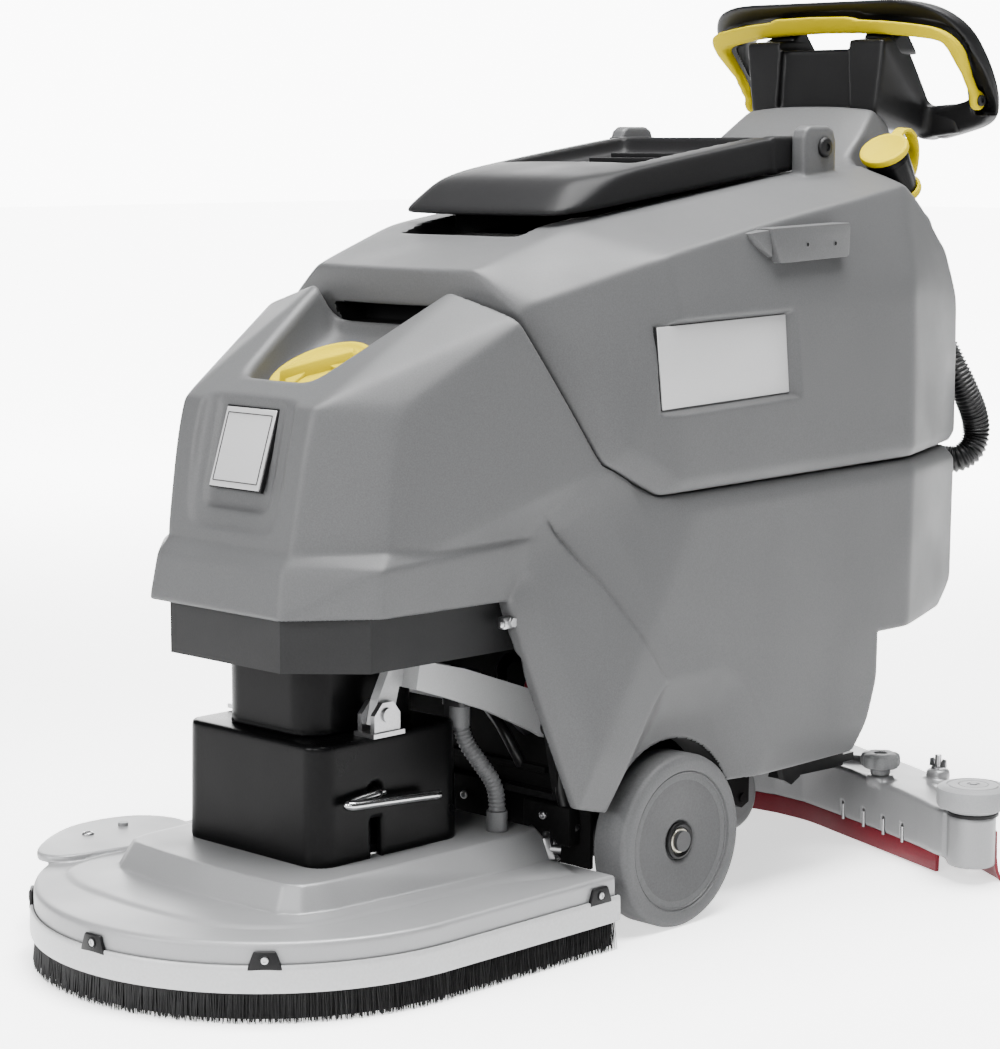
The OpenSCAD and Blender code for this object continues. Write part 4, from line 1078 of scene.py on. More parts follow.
def build_drain_end():
    prof = [(0, 0.05), (18.4, 0.05), (18.4, 9), (22, 10.5), (26, 13), (26.4, 22), (27, 48), (27, 66), (26.4, 74), (25.4, 76), (22.4, 76), (22, 75), (22, 26), (0, 26)]
    V, F = lathe(prof, (0, 0, 0), (0, 0, 1), 56)
    rings = [weld(*ringed([(26.2, z), (27.4, z + 0.4), (27.4, z + 2.2), (26.2, z + 2.6)], (0, 0, 0), (0, 0, 1), 56)) for z in (64, )]
    V, F = merge((V, F), *rings)
    show("hose_end_skin", ([end_dir(p) for p in V], F), "black_shiny", "tank", ["hose_end"])
    ring = weld(*ringed([(26.6, 13.5), (30, 13.5), (30.6, 15), (30.6, 20), (30, 21.5), (26.8, 21.5)], (0, 0, 0), (0, 0, 1), 56))
    show("strap_ring", ([end_dir(p) for p in ring[0]], ring[1]), "yellow_plastic", "tank", ["drain_strap"])
    disc = lathe([(0, 72), (19, 72), (19, 76.5), (30.4, 76.5), (31.2, 78), (31.2, 82), (30.2, 84), (28, 84.8), (25, 84.6), (24, 83.9), (0, 83.6)], (0, 0, 0), (0, 0, 1), 64)
    lugb = block(-8, 8, 24, 36, 77.5, 82.5, 1.2)
    cap = merge(disc, lugb)
    show("drain_cap_skin", ([end_dir(p) for p in cap[0]], cap[1]), "yellow_plastic", "drain_cap", ["drain_cap"])
    line = smooth_line([(0, 30, 80.5), (0, 41, 80), (0, 52, 73), (0, 58, 58), (0, 55, 42), (0, 46, 28), (0, 36, 20), (0, 29, 17.5)], 6)
    V, F = [], []
    n = len(line)
    prev = None
    for i, p in enumerate(line):
        a = Vector(line[max(i - 1, 0)])
        b = Vector(line[min(i + 1, n - 1)])
        t = (b - a).normalized()
        nn = Vector((1, 0, 0)).cross(t).normalized()
        for sx, sn in ((-7.5, -1.6), (-6.8, -2.1), (6.8, -2.1), (7.5, -1.6), (7.5, 1.6), (6.8, 2.1), (-6.8, 2.1), (-7.5, 1.6)):
            V.append(tuple(Vector(p) + Vector((sx, 0, 0)) + nn * sn))
    for i in range(n - 1):
        for k in range(8):
            F.append([i * 8 + k, i * 8 + (k + 1) % 8, (i + 1) * 8 + (k + 1) % 8, (i + 1) * 8 + k])
    F.append(list(range(8))[::-1])
    F.append([(n - 1) * 8 + k for k in range(8)])
    V, F = weld(V, F)
    ob = mesh_object("strap_loop", [end_dir(p) for p in V], F)
    ob.data.set_sharp_from_angle(angle=math.radians(40))
    give(ob, "yellow_plastic", None)
    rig.blend(ob, "tank", "drain_cap", W(end_dir((0, 46, 26))), W(end_dir((0, 46, 80))))


build_lid()
build_handle()
build_tank_trim()
build_drain_end()


# ------------------------------------------------------------ deck
DECK = 272.5


def d_line(r, rear, step=10.0, both_ends=True):
    """Points along the deck's edge from its right rear corner round the front to its left rear corner."""
    pts = []
    s = rear
    while s > DECK + 1:
        pts.append((-r, s))
        s -= step
    n = max(8, int(math.pi * r / step))
    for i in range(n + 1):
        a = math.pi + math.pi * i / n
        pts.append((r * math.cos(a), DECK + r * math.sin(a)))
    m = len([p for p in pts if p[0] == -r and p[1] > DECK + 1])
    pts += [(r, p[1]) for p in pts[:m][::-1]]
    return pts


def band_sweep(profile, rear, r, step=8.0):
    """Closed profile of (out, z) swept along the deck's edge of radius r."""
    L = d_line(r, rear, step)
    n, k = len(L), len(profile)
    V, F = [], []
    for i, (x, s) in enumerate(L):
        a = np.array(L[max(i - 1, 0)])
        b = np.array(L[min(i + 1, n - 1)])
        t = (b - a) / np.linalg.norm(b - a)
        nx, ns = -t[1], t[0]
        if nx * x + ns * (s - DECK) < 0:
            nx, ns = -nx, -ns
        for o, z in profile:
            V.append((x + nx * o, s + ns * o, z))
    for i in range(n - 1):
        for j in range(k):
            F.append([i * k + j, i * k + (j + 1) % k, (i + 1) * k + (j + 1) % k, (i + 1) * k + j])
    F.append(list(range(k))[::-1])
    F.append([(n - 1) * k + j for j in range(k)])
    return weld(V, F)


def build_deck():
    dplan = poly2(d_line(267.6, 531.5, 12))
    dhol = poly2(d_line(256, 545, 16))
    contour = poly2(smooth_line([(-201, 519), (-199, 300), (-194, 180), (-174, 118), (-120, 88), (-60, 79), (0, 77), (70, 82), (124, 95), (160, 122), (184, 165), (196, 260), (201, 400), (203, 519)], 4, True))
    riser = convex(mir([(0, 143, 84), (64, 146, 84), (134, 153, 84), (156, 168, 84), (167, 200, 84), (178, 330, 84), (188, 480, 84), (182, 538, 84), (150, 543, 84),
                        (0, 163, 117), (60, 165, 117), (126, 171, 117), (142, 182, 117), (149, 205, 117), (152, 330, 117), (154, 480, 117), (146, 531, 117)]), 0.6)

    def f(P):
        z = P[:, 2]
        d = dplan(P[:, 0], P[:, 1])
        top = 86.6 - np.clip(d + 60, 0, 60) * 0.03
        base = softmax([d, 57.5 - z, z - top], 2.0)
        step = softmax([contour(P[:, 0], P[:, 1]), 70 - z, z - 88.0], 2.6)
        v = smin(base, step, 7.0)
        return smin(v, riser(P), 1.2)
    ear = lambda P: softmax([np.sqrt((P[:, 0] + 272) ** 2 + (P[:, 1] - 268) ** 2) - 46, 86.5 - P[:, 2], P[:, 2] - 94], 1.6)
    plan = poly2(smooth_line([(-319, 252), (-312, 214), (-286, 168), (-252, 130), (-226, 122), (-204, 140), (-192, 190), (-186, 240), (-196, 300), (-222, 330), (-262, 336), (-296, 320), (-314, 290)], 5, True))
    cover = lambda P: softmax([plan(P[:, 0], P[:, 1]), 84 - P[:, 2], P[:, 2] - 93.2], 1.1)
    g = join(f, cover, 2.0)
    g = cut(g, lambda P: softmax([dhol(P[:, 0], P[:, 1]), 40 - P[:, 2], P[:, 2] - 79, -(np.sqrt((P[:, 0] + 272) ** 2 + (P[:, 1] - 268) ** 2) - 60)], 1.5), 2)
    g = cut(g, rod((0, DECK, 30), (0, DECK, 110), 62, 1), 1.5)
    g = cut(g, rod((0, DECK, 30), (0, DECK, 140), 14, 0.6), 1)
    g = cut(g, rod((-272, 268, 50), (-272, 268, 86.6), 52, 0.8), 1)
    # inside of the riser, under the motor box
    g = cut(g, rbox(-98, 98, 243, 433, 50, 124, 6), 2)
    ob = field_object("deck_casting", g, (-320, -2, 50), (272, 548, 121), 3.3 * FINE)
    give(ob, "silver_cast", "deck", ["deck_plate"], "silver_cast")
    trim = [screw((-268, 214, 93.0), (0, 0, 1), 7, 3.0)]
    # bracket on the end of the riser
    trim.append(solid([(164, 530, 92), (190, 506, 92), (194, 512, 92), (168, 537, 92), (160, 527, 116), (182, 504, 116), (186, 511, 116), (164, 533, 116)], 1.2))
    trim.append(screw((181, 522, 106), (0.7, 0.72, 0), 5, 3))
    trim.append(tube([(186, 512, 103), (195, 520, 102)], 5, 14))
    show("deck_screws", merge(*trim), "steel", "deck")
    prof = [(0.2, 33.5), (0.2, 61), (0.8, 61.8), (3.4, 61.8), (4.1, 60.8), (4.6, 56), (4.9, 40), (4.9, 35), (4.2, 33.0), (1.0, 33.0)]
    show("skirt_strip", band_sweep(prof, 534, 267.6), "band_grey", "deck", ["skirt_band"])
    # clips
    dark, heads = [], []
    for k, (c, deg) in enumerate([((0, DECK), -40), ((0, DECK), 4), ((0, DECK), 46), ((0, 503), 90), ((0, 503), -90)]):
        p = plate([(-18, 57), (18, 57), (17.4, 60), (12, 75), (10.5, 76.6), (-10.5, 76.6), (-12, 75), (-17.4, 60)], 1, -272.1, -267.9, 1.2)
        h = screw((0, -272.0, 67.5), (0, -1, 0), 4.0, 1.6)
        q = weld(*ringed([(4.2, 0), (5.6, 0), (5.6, 1.0), (5.2, 1.4), (4.2, 1.4)], (0, -272.0, 67.5), (0, -1, 0), 24))
        for lst, part in ((dark, p), (dark, q), (heads, h)):
            lst.append(shift(turned(part, (0, 0, 0), (0, 0, 1), deg), (c[0], c[1], 0)))
    show("clip_bodies", merge(*dark), "black_plastic", "deck", ["skirt_clips"])
    show("clip_screws", merge(*heads), "clip_screw", "deck")
    # bristles
    rnd = random.Random(7)
    V, F = [], []
    for row, (r, dens) in enumerate(((265.4, 1.25), (263.0, 1.6), (260.6, 1.9))):
        L = d_line(r, 531, dens)
        for i, (x, s) in enumerate(L):
            a, b = L[max(i - 1, 0)], L[min(i + 1, len(L) - 1)]
            t = Vector((b[0] - a[0], b[1] - a[1], 0)).normalized()
            nrm = Vector((-t.y, t.x, 0))
            if nrm.x * x + nrm.y * (s - DECK) < 0:
                nrm = -nrm
            top = Vector((x, s, 40)) + t * rnd.uniform(-0.5, 0.5)
            low = Vector((x, s, rnd.uniform(0.0, 2.6))) + nrm * (2.6 - row * 1.3 + rnd.uniform(-1.6, 1.8)) + t * rnd.uniform(-3.0, 3.0)
            if low.y > 533:
                low.y = 533
            w0, w1 = rnd.uniform(0.55, 0.8), rnd.uniform(0.35, 0.55)
            o = len(V)
            for p, wd in ((top, w0), (low, w1)):
                for k in range(3):
                    an = 2 * math.pi * k / 3 + row
                    V.append(tuple(p + t * (wd * math.cos(an)) + nrm * (wd * math.sin(an))))
            F += [[o, o + 1, o + 4, o + 3], [o + 1, o + 2, o + 5, o + 4], [o + 2, o, o + 3, o + 5], [o + 2, o + 1, o], [o + 3, o + 4, o + 5]]
    back = band_sweep([(-6.5, 3), (-6.5, 56.5), (-0.2, 56.5), (-0.2, 42), (-3.5, 38), (-4.5, 3)], 531, 265)
    ob = show("skirt_brush", merge((V, F), back), "bristle", "deck", ["skirt_bristles"], angle=60)
    # motor box with release lever
    def mb(P):
        z = P[:, 2]
        dr = (250 - z) * 0.018
        return softmax([rect2(P, (0, 339), (112.5, 107), 24) - dr, 116.0 - z, z - 250], 1.8)
    g = cut(mb, lambda P: softmax([rect2(P, (0, 339), (105, 99.5), 18), 100 - P[:, 2], P[:, 2] - 243], 1.5), 1.5)
    g = cut(g, rod((90, 313, 190), (130, 313, 190), 11, 0.8), 1.5)
    g = cut(g, rbox(100, 125, 306, 322, 100, 161, 1), 1.5)
    g = cut(g, rod((0, 335, 200), (0, 335, 260), 50, 1), 1.5)
    ob = field_object("motor_box_skin", g, (-119, 226, 113), (119, 452, 254), 3.2 * FINE)
    give(ob, "black_shiny", "deck", ["motor_box"], "black_plastic")

    def mh(P):
        z = P[:, 2]
        flare = np.clip(256 - z, 0, 6) * 0.5
        return softmax([rect2(P, (0, 337), (76, 83), 34) - flare, 250.1 - z, z - 396], 1.8)
    g = cut(mh, lambda P: softmax([rect2(P, (0, 337), (69, 76), 28), 230 - P[:, 2], P[:, 2] - 388], 1.5), 1.5)
    ob = field_object("motor_housing_skin", g, (-82, 248, 248), (82, 426, 398), 3.2 * FINE)
    give(ob, "black_shiny", "deck", ["motor_housing"], "black_plastic")
    rods = smooth_line([(104, 313, 190), (118, 313, 190), (121.6, 306, 189.5), (122, 290, 188.5), (122, 276, 187), (123.5, 266, 186), (126, 262, 185.5), (130, 266, 185), (131.5, 276, 184.4), (132, 300, 183), (132, 360, 179), (132, 392, 176.6)], 5)
    ends = tube(rods, [5.4] * (len(rods) - 1) + [4.8], 18)
    flat = solid([(115, 304, 193), (123, 304, 193), (115, 322, 193), (123, 322, 193), (115, 304, 187), (123, 304, 187), (115, 322, 187), (123, 322, 187)], 1.5)
    show("lever_rod", merge(ends, flat), "steel_bright", "release_lever", ["release_lever"])
    # roller under the ear
    r = lathe([(0, 62.2), (20, 62.2), (20, 66), (44, 66), (49, 67.5), (50, 70), (50, 82), (49, 84.8), (44, 86.1), (6, 86.1), (5.9, 97), (0, 97)], (-272, 268, 0), (0, 0, 1), 64)
    show("side_roller", r, "roller_grey", "deck_roller", ["deck_roller"])
    # pad and driver
    pr = [(40, 0.2), (247, 0.2), (249.6, 3), (250, 10), (249.6, 19), (247.5, 22), (40, 22)]
    show("pad_disc", weld(*ringed(pr, (0, DECK, 0), (0, 0, 1), 96)), "pad_fibre", "pad", ["scrub_pad"])
    dp = [(0, 33), (30, 33), (30, 22.1), (244, 22.1), (248, 24), (248, 38), (245, 40), (60, 40), (52, 44), (50, 70), (47, 73), (11, 73), (11, 131), (10, 132), (0, 132)]
    fins = [turned(block(58, 236, DECK - 2.5, DECK + 2.5, 39, 48, 1), (0, DECK, 0), (0, 0, 1), k * 30) for k in range(12)]
    show("driver_disc", merge(lathe(dp, (0, DECK, 0), (0, 0, 1), 72), *fins), "driver", "pad", ["pad_driver"])


material("squeegee_cast", (0.36, 0.363, 0.368), 0.36, metal=0.5, grain=800, bump=0.12, depth=0.0003, var=0.06)
material("clip_screw", (0.78, 0.78, 0.79), 0.35, metal=0.6, grain=300, bump=0.05, var=0.05)
material("steel_bright", (0.75, 0.755, 0.76), 0.2, metal=1.0, grain=160, bump=0.03, var=0.05)


# ------------------------------------------------------------ wheels
def build_wheels():
    for sgn, name in ((1, "left"), (-1, "right")):
        c, ax = (sgn * 212, 651, 100), (sgn, 0, 0)
        tyre = [(70, 0), (91, 0), (96, 1.2), (99, 4), (100, 8), (100, 42), (99.2, 45.5), (97, 48.2), (93.5, 49.8), (90, 50), (83.2, 50), (81.6, 49.4), (81, 48), (80.6, 47.2), (79.6, 47.4), (79, 47.9), (78, 47.6), (77.4, 46.4), (70, 46.2), (70, 40)]
        show(name + "_tyre", weld(*ringed(tyre, c, ax, 96)), "wheel_grey", name + "_wheel", [name + "_wheel"])
        disc = [(12.1, 4), (71, 4), (71, 46.05), (28, 45.6), (25, 45.0), (22.5, 43), (22, 41), (12.1, 41)]
        show(name + "_disc", weld(*ringed(disc, c, ax, 96)), "wheel_dark", name + "_wheel")
        ring = [(13.5, 43.5), (21, 43.5), (21.6, 44.6), (21, 46.4), (18.5, 47.2), (16, 46.2), (14.6, 45)]
        show(name + "_ring", weld(*ringed(ring, c, ax, 48)), "black_plastic", name + "_wheel", [name + "_hub"])
        nut = lathe([(0, 43.5), (14.2, 43.5), (14.6, 45.4), (13.6, 46.6), (11.6, 46.8), (11.2, 46.2), (8.6, 46.2), (8.2, 49.0), (7.4, 49.8), (4.6, 49.9), (4.2, 48.6), (0, 48.4)], c, ax, 36)
        hx = hexhead((sgn * 258.2, 651, 100), ax, 8.6, 2.6)
        show(name + "_nut", merge(nut, hx), "nut", name + "_wheel")
    cw = [(6.1, 1), (30, 1), (37, 0), (41, 1.5), (44, 5), (45, 9), (45, 27), (44, 31), (41, 34.5), (37, 36), (30, 35), (6.1, 35)]
    show("caster_tyre", weld(*ringed(cw, (-18, 1040, 45), (1, 0, 0), 72)), "roller_grey", "caster_wheel", ["caster_wheel"])


material("nut", (0.56, 0.53, 0.45), 0.34, metal=1.0, grain=300, bump=0.08, var=0.12)


# ------------------------------------------------------------ squeegee
def build_squeegee():
    front = [(0, 1142), (50, 1137), (110, 1118), (200, 1088), (296, 1052), (330, 1036), (352, 1028)]
    rear = [(356, 1076), (344, 1096), (300, 1132), (252, 1165), (180, 1192), (110, 1215), (60, 1235), (0, 1240)]
    plan = poly2(sym(front + rear)) if False else poly2(front + rear + [(-x, s) for x, s in (front + rear)[::-1] if x > 0])
    hollow = poly2([(0, 1152), (60, 1145), (290, 1066), (330, 1052), (334, 1080), (250, 1140), (110, 1196), (60, 1214), (0, 1218), (-60, 1214), (-110, 1196), (-250, 1140), (-334, 1080), (-330, 1052), (-290, 1066), (-60, 1145)])

    def f(P):
        z = P[:, 2]
        top = 91.5 - np.clip(np.abs(P[:, 0]) - 150, 0, 250) * 0.03
        return softmax([plan(P[:, 0], P[:, 1]), 26 - z, z - top], 2.2)
    g = join(f, mirrored(rod((378, 1050, 20), (378, 1050, 83), 29, 1.2)), 8)
    g = join(g, mirrored(rod((206, 1096, 84), (206, 1096, 96), 17, 1.5)), 5)
    g = join(g, mirrored(rod((251, 1157, 84), (251, 1157, 101), 15, 2.5)), 5)
    g = cut(g, mirrored(convex([(262, 1128, 83), (318, 1082, 83), (334, 1094, 83), (284, 1138, 83), (258, 1126, 110), (318, 1076, 110), (340, 1096, 110), (284, 1144, 110)], 2)), 4)
    g = cut(g, mirrored(convex([(60, 1150, 84), (170, 1112, 84), (196, 1130, 84), (120, 1180, 84), (58, 1146, 110), (172, 1106, 110), (202, 1130, 110), (120, 1186, 110)], 2)), 4)
    g = cut(g, lambda P: softmax([hollow(P[:, 0], P[:, 1]), 10 - P[:, 2], P[:, 2] - 76], 1.5), 2)
    g = cut(g, rod((0, 1192, 60), (0, 1192, 120), 25.9, 0.6), 1)
    g = cut(g, mirrored(rod((382, 1046, 60), (382, 1046, 120), 7.6, 0.6), ), 1)
    g = cut(g, mirrored(rod((206, 1096, 70), (206, 1096, 120), 6.1, 0.6)), 1)
    for x in (138, 182, 224, 264):
        t = (x - 110) / 186.0
        s = 1118 + (1052 - 1118) * t
        g = cut(g, mirrored(rbox(x - 3.4, x + 3.4, s - 12, s + 9, 20, 48, 3)), 1.2)
    ob = field_object("squeegee_casting", g, (-412, 1014, 18), (412, 1244, 103), 3.2 * FINE)
    give(ob, "squeegee_cast", "squeegee", ["squeegee_body"], "silver_cast")
    studs = []
    for x in (138, 182, 224, 264):
        s = 1118 + (1052 - 1118) * (x - 110) / 186.0
        studs.append(tube([(x, s + 3, 24), (x, s + 3, 44)], 2.2, 12))
    wing = merge(lathe([(0, 100.5), (9, 100.5), (9, 103), (4.2, 104), (4.2, 118), (3.4, 119), (0, 119)], (251, 1157, 0), (0, 0, 1), 28),
                 plate([(-13, 103), (13, 103), (12, 113), (7, 114), (4, 107), (-4, 107), (-7, 114), (-12, 113)], 1, -1.6, 1.6, 0.8))
    wing = merge(lathe([(0, 100.5), (9, 100.5), (9, 103), (4.2, 104), (4.2, 118), (3.4, 119), (0, 119)], (251, 1157, 0), (0, 0, 1), 28),
                 shift(plate([(-13, 103), (13, 103), (12, 113), (7, 114), (4, 107), (-4, 107), (-7, 114), (-12, 113)], 1, -1.6, 1.6, 0.8), (251, 1157, 0)))
    show("squeegee_studs", pair(merge(*studs, wing)), "steel", "squeegee")

    def strip(line, prof, closed_ends=True):
        L = [(-x, s) for x, s in line[::-1] if x > 0] + line
        n, k = len(L), len(prof)
        V, F = [], []
        for i, (x, s) in enumerate(L):
            a, b = np.array(L[max(i - 1, 0)]), np.array(L[min(i + 1, n - 1)])
            t = (b - a) / np.linalg.norm(b - a)
            nx, ns = -t[1], t[0]
            for o, z in prof:
                V.append((x + nx * o, s + ns * o, z))
        for i in range(n - 1):
            for j in range(k):
                F.append([i * k + j, i * k + (j + 1) % k, (i + 1) * k + (j + 1) % k, (i + 1) * k + j])
        F.append(list(range(k))[::-1])
        F.append([(n - 1) * k + j for j in range(k)])
        return weld(V, F)
    fl = smooth_line([(0, 1148.6), (60, 1141.6), (130, 1118), (210, 1090.5), (290, 1062.6), (330, 1048.6)], 5)
    show("front_strip", strip(fl, [(-2.6, 2.2), (-3, 25), (-2.4, 26), (2.4, 26), (3, 25), (2.2, 2.2)]), "red_rubber", "squeegee", ["front_blade"])
    rl = smooth_line([(0, 1244), (62, 1240), (112, 1220), (190, 1192), (254, 1170), (300, 1138), (344, 1101)], 5)
    show("rear_strip", strip(rl, [(-2.2, 62), (2.2, 62), (2.6, 30), (4.2, 14), (7.4, 3), (8.2, 0.2), (4.6, 0.2), (1.0, 12), (-1.8, 26)]), "red_rubber", "squeegee", ["rear_blade"])
    tip = [weld(*p) for p in [strip_end(1), strip_end(-1)]]
    show("rear_strip_ends", merge(*tip), "red_rubber", "squeegee")
    sl = smooth_line([(0, 1248.2), (62, 1244.2), (112, 1224.2), (254, 1174.2), (342, 1106)], 5)
    show("strap_strip", strip(sl, [(-1.2, 37), (-1.2, 59), (-0.6, 60), (0.6, 60), (1.2, 59), (1.2, 37), (0.6, 36), (-0.6, 36)]), "steel", "squeegee", ["blade_strap"])
    noz = [(0, 150), (25.9, 150), (25.9, 121), (31, 119.4), (32, 117), (32, 112.4), (25.8, 111), (25.8, 62.2), (20.2, 62.2), (20.2, 140), (0, 140)]
    show("nozzle_skin", lathe(noz, (0, 1192, 0), (0, 0, 1), 48), "black_plastic", "squeegee", ["suction_nozzle"])
    for sgn, name in ((1, "left"), (-1, "right")):
        c = (sgn * 382, 1046, 0)
        rp = [(0, 62.4), (7.3, 62.4), (7.3, 88.2), (30, 88.2), (31, 92), (38, 92.4), (42.4, 94), (44, 97.5), (44, 112), (42.8, 116.4), (39, 119), (33, 120), (31.5, 118.8), (30.6, 118.8), (29.4, 120), (22, 120.6), (18.6, 120.2), (17.8, 119), (17, 120.2), (8, 120.8), (7.4, 119.6), (4.6, 119.4), (4.2, 121.4), (0, 121.6)]
        show(name + "_roller_skin", lathe(rp, c, (0, 0, 1), 72), "roller_grey", name + "_roller", [name + "_roller"])
        show(name + "_roller_seat", lathe([(0, 83.6), (31, 83.6), (31, 86.8), (29, 88), (8, 88), (8, 83.7), (0, 83.7)], c, (0, 0, 1), 56), "black_plastic", "squeegee")
        # knob with lobes
        k = (sgn * 206, 1096)
        V, F = [], []
        n = 84
        prof = [(0, 78), (5.9, 78), (5.9, 96.4), (12, 96.6), (12.6, 100), (12, 104.4), (20.5, 105.2), (24, 107), (25, 111), (25, 118), (23.8, 121.6), (21, 123.4), (14, 124), (8.6, 123.4), (8, 121.8), (0, 121.6)]
        V, F = lathe(prof, (k[0], k[1], 0), (0, 0, 1), n)
        V2 = []
        for x, s, z in V:
            r = math.hypot(x - k[0], s - k[1])
            if r > 14 and z > 104:
                a = math.atan2(s - k[1], x - k[0])
                fct = 1 - 0.11 * (0.5 - 0.5 * math.cos(7 * a)) ** 2 * min(1, (r - 14) / 8)
                x, s = k[0] + (x - k[0]) * fct, k[1] + (s - k[1]) * fct
            V2.append((x, s, z))
        show(name + "_knob_skin", (V2, F), "knob_grey", name + "_knob", [name + "_knob"])


material("knob_grey", (0.2, 0.203, 0.207), 0.5, grain=500, bump=0.15, var=0.1)


def strip_end(sgn):
    """Flared end of the rear blade behind the end roller."""
    pts = smooth_line([(344, 1101), (372, 1085), (394, 1072), (403, 1064)], 5)
    prof = [(-2.0, 62), (2.2, 62), (2.6, 30), (4.6, 14), (9.0, 3), (10.4, 0.2), (6.6, 0.2), (1.6, 12), (-1.6, 26)]
    V, F = [], []
    n, k = len(pts), len(prof)
    for i, (x, s) in enumerate(pts):
        a, b = np.array(pts[max(i - 1, 0)]), np.array(pts[min(i + 1, n - 1)])
        t = (b - a) / np.linalg.norm(b - a)
        nx, ns = -t[1], t[0]
        for o, z in prof:
            V.append((sgn * (x + nx * o), s + ns * o, z))
    for i in range(n - 1):
        for j in range(k):
            F.append([i * k + j, i * k + (j + 1) % k, (i + 1) * k + (j + 1) % k, (i + 1) * k + j])
    F.append(list(range(k))[::-1])
    F.append([(n - 1) * k + j for j in range(k)])
    return V, F


# ------------------------------------------------------------ hoses, cap
def build_hoses():
    drain = [(159, 1180, 812), (157, 1192, 796), (150, 1215, 788), (140, 1243, 778), (131, 1262, 755), (128, 1270, 720),
             (132, 1273, 685), (146, 1274, 652), (163, 1276, 622), (177, 1282, 593), (184, 1296, 563), (186, 1311, 536), (185, 1318, 511),
             (182, 1312, 490), (173, 1300, 479), (158, 1293, 476), (138, 1294, 476), (114, 1300, 480), (90, 1308, 492), (70, 1308, 516),
             (61, 1298, 540), (60, 1282, 551), (60, 1262.3, 552)]
    V, F = corrugated(drain, 18.0, 2.6, 5.2, 22, 6)
    ob = show("drain_hose_skin", (V, F), "hose_black", "tank", ["drain_hose"], angle=80)
    path = [tuple(W(p)) for p in smooth_line(drain, 24)]
    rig.cord(ob, exit=tuple(W(drain[-1])), length=line_length(path), diameter=0.036, far_end="object", stiffness="stiff", lay="hanging", path=path[::-1])
    suc = [(0, 1192, 150.4), (0, 1192, 166), (12, 1196, 186), (34, 1202, 206), (58, 1202, 232), (74, 1192, 258), (80, 1180, 282), (80, 1178, 302)]
    V, F = corrugated(suc, 22.0, 2.0, 9.0, 26, 6)
    V = V
    ob = mesh_object("suction_hose_skin", V, F)
    give(ob, "hose_grey", None)
    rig.replaces(ob, "suction_hose")
    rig.blend(ob, "squeegee_arm", "chassis", W((0, 1192, 160)), W((80, 1178, 296)))
    rin = [(96, 458, 262), (96, 458, 246), (102, 463, 220), (113, 474, 196), (122, 486, 172), (124, 490, 150), (124, 490, 117.3)]
    V, F = corrugated(rin, 10.0, 1.5, 5.0, 18, 6)
    cuff = merge(tube([(96, 458, 262), (96, 458, 238)], 12.5, 20), tube([(124, 490, 140), (124, 490, 117.3)], 12, 20))
    show("rinse_hose_skin", merge((V, F), cuff), "hose_mid", "deck", ["rinse_hose"], angle=70)
    # filler cap with its grip
    n = Vector((0, -math.sin(math.radians(25.5)), math.cos(math.radians(25.5))))
    c = Vector((0, 340, 640))
    disc = lathe([(0, -14), (36, -14), (36, -20), (41.4, -20), (41.6, -6), (54, -6), (58, -7.6), (60.4, -6.8), (61, -4), (60.4, 0.4), (58.6, 2.2), (55, 2.4), (52.6, 1.6), (50.8, 0.2), (44, 0), (0, 0.6)], c, n, 80)
    m = Matrix.Rotation(math.radians(25.5), 3, Vector((1, 0, 0))) @ Matrix.Rotation(math.radians(38), 3, Vector((0, 0, 1)))

    def place(p):
        return [tuple(c + m @ Vector(v)) for v in p[0]], p[1]
    grip = solid([(-47, -9, -1), (47, -9, -1), (47, 9, -1), (-47, 9, -1), (-42, -4.5, 12), (42, -4.5, 12), (42, 4.5, 12), (-42, 4.5, 12), (0, -13, -1), (0, 13, -1), (0, -6, 13.5), (0, 6, 13.5)], 1.6)
    wing = [solid([(a * 14, b * 9, -1), (a * 40, b * 10, -1), (a * 34, b * 34, -1), (a * 14, b * 9, 5), (a * 38, b * 10, 4), (a * 33, b * 31, 2.0)], 1.0) for a in (1, -1) for b in (1, -1)]
    show("filler_cap_skin", merge(disc, place(grip), *[place(x) for x in wing]), "yellow_plastic", "filler_cap", ["filler_cap"])


material("hose_mid", (0.13, 0.132, 0.135), 0.45, grain=500, bump=0.1, var=0.1)

def build_inside():
    # back wall of the bay, near-black as painted shade
    wall = merge(block(-186, 186, 578, 584, 66, 330, 1.5), block(-120, 120, 572, 579, 168, 176, 1), block(-150, -90, 560, 579, 92, 140, 3), block(96, 170, 560, 579, 92, 138, 3),
                 block(-60, 60, 562, 579, 100, 150, 4), block(150, 182, 556, 579, 176, 214, 3))
    show("bay_wall", wall, "inside_dark", "chassis")
    runs = [([(150, 576, 200), (146, 570, 176), (150, 569, 150), (160, 570, 124), (166, 576, 110)], 7.0),
            ([(60, 576, 296), (66, 556, 284), (82, 546, 262), (92, 552, 232), (90, 574, 214)], 6.0),
            ([(160, 576, 296), (164, 558, 280), (160, 548, 252), (168, 554, 226), (176, 574, 214)], 5.0),
            ([(20, 576, 250), (30, 568, 238), (56, 566, 216), (74, 569, 190), (78, 577, 172)], 6.5)]
    show("bay_cables", merge(*[tube(smooth_line(p, 6), r, 14) for p, r in runs]), "hose_black", "chassis")
    red = tube(smooth_line([(100, 576, 284), (104, 558, 272), (112, 552, 252), (108, 560, 234), (104, 576, 226)], 6), 2.2, 10)
    show("bay_lead", red, "red_rubber", "chassis")
    bolts = [screw((168, 556.0, 196), (0, -1, 0), 6, 4), screw((130, 560.0, 124), (0, -1, 0), 5, 4), screw((112, 560.0, 104), (0, -1, 0), 5, 4), screw((0, 562.0, 126), (0, -1, 0), 5, 4)]
    show("bay_bolts", merge(*bolts), "steel", "chassis")
    latch = merge(block(178, 187, 437, 455, 361, 374, 1.2), hexhead((187, 449, 368), (1, 0, 0), 5.5, 4.5), block(184, 189, 431, 438, 364, 371, 1.0))
    show("band_latches", pair(latch), "steel", "chassis")


build_inside()
build_deck()
build_wheels()
build_squeegee()
build_hoses()


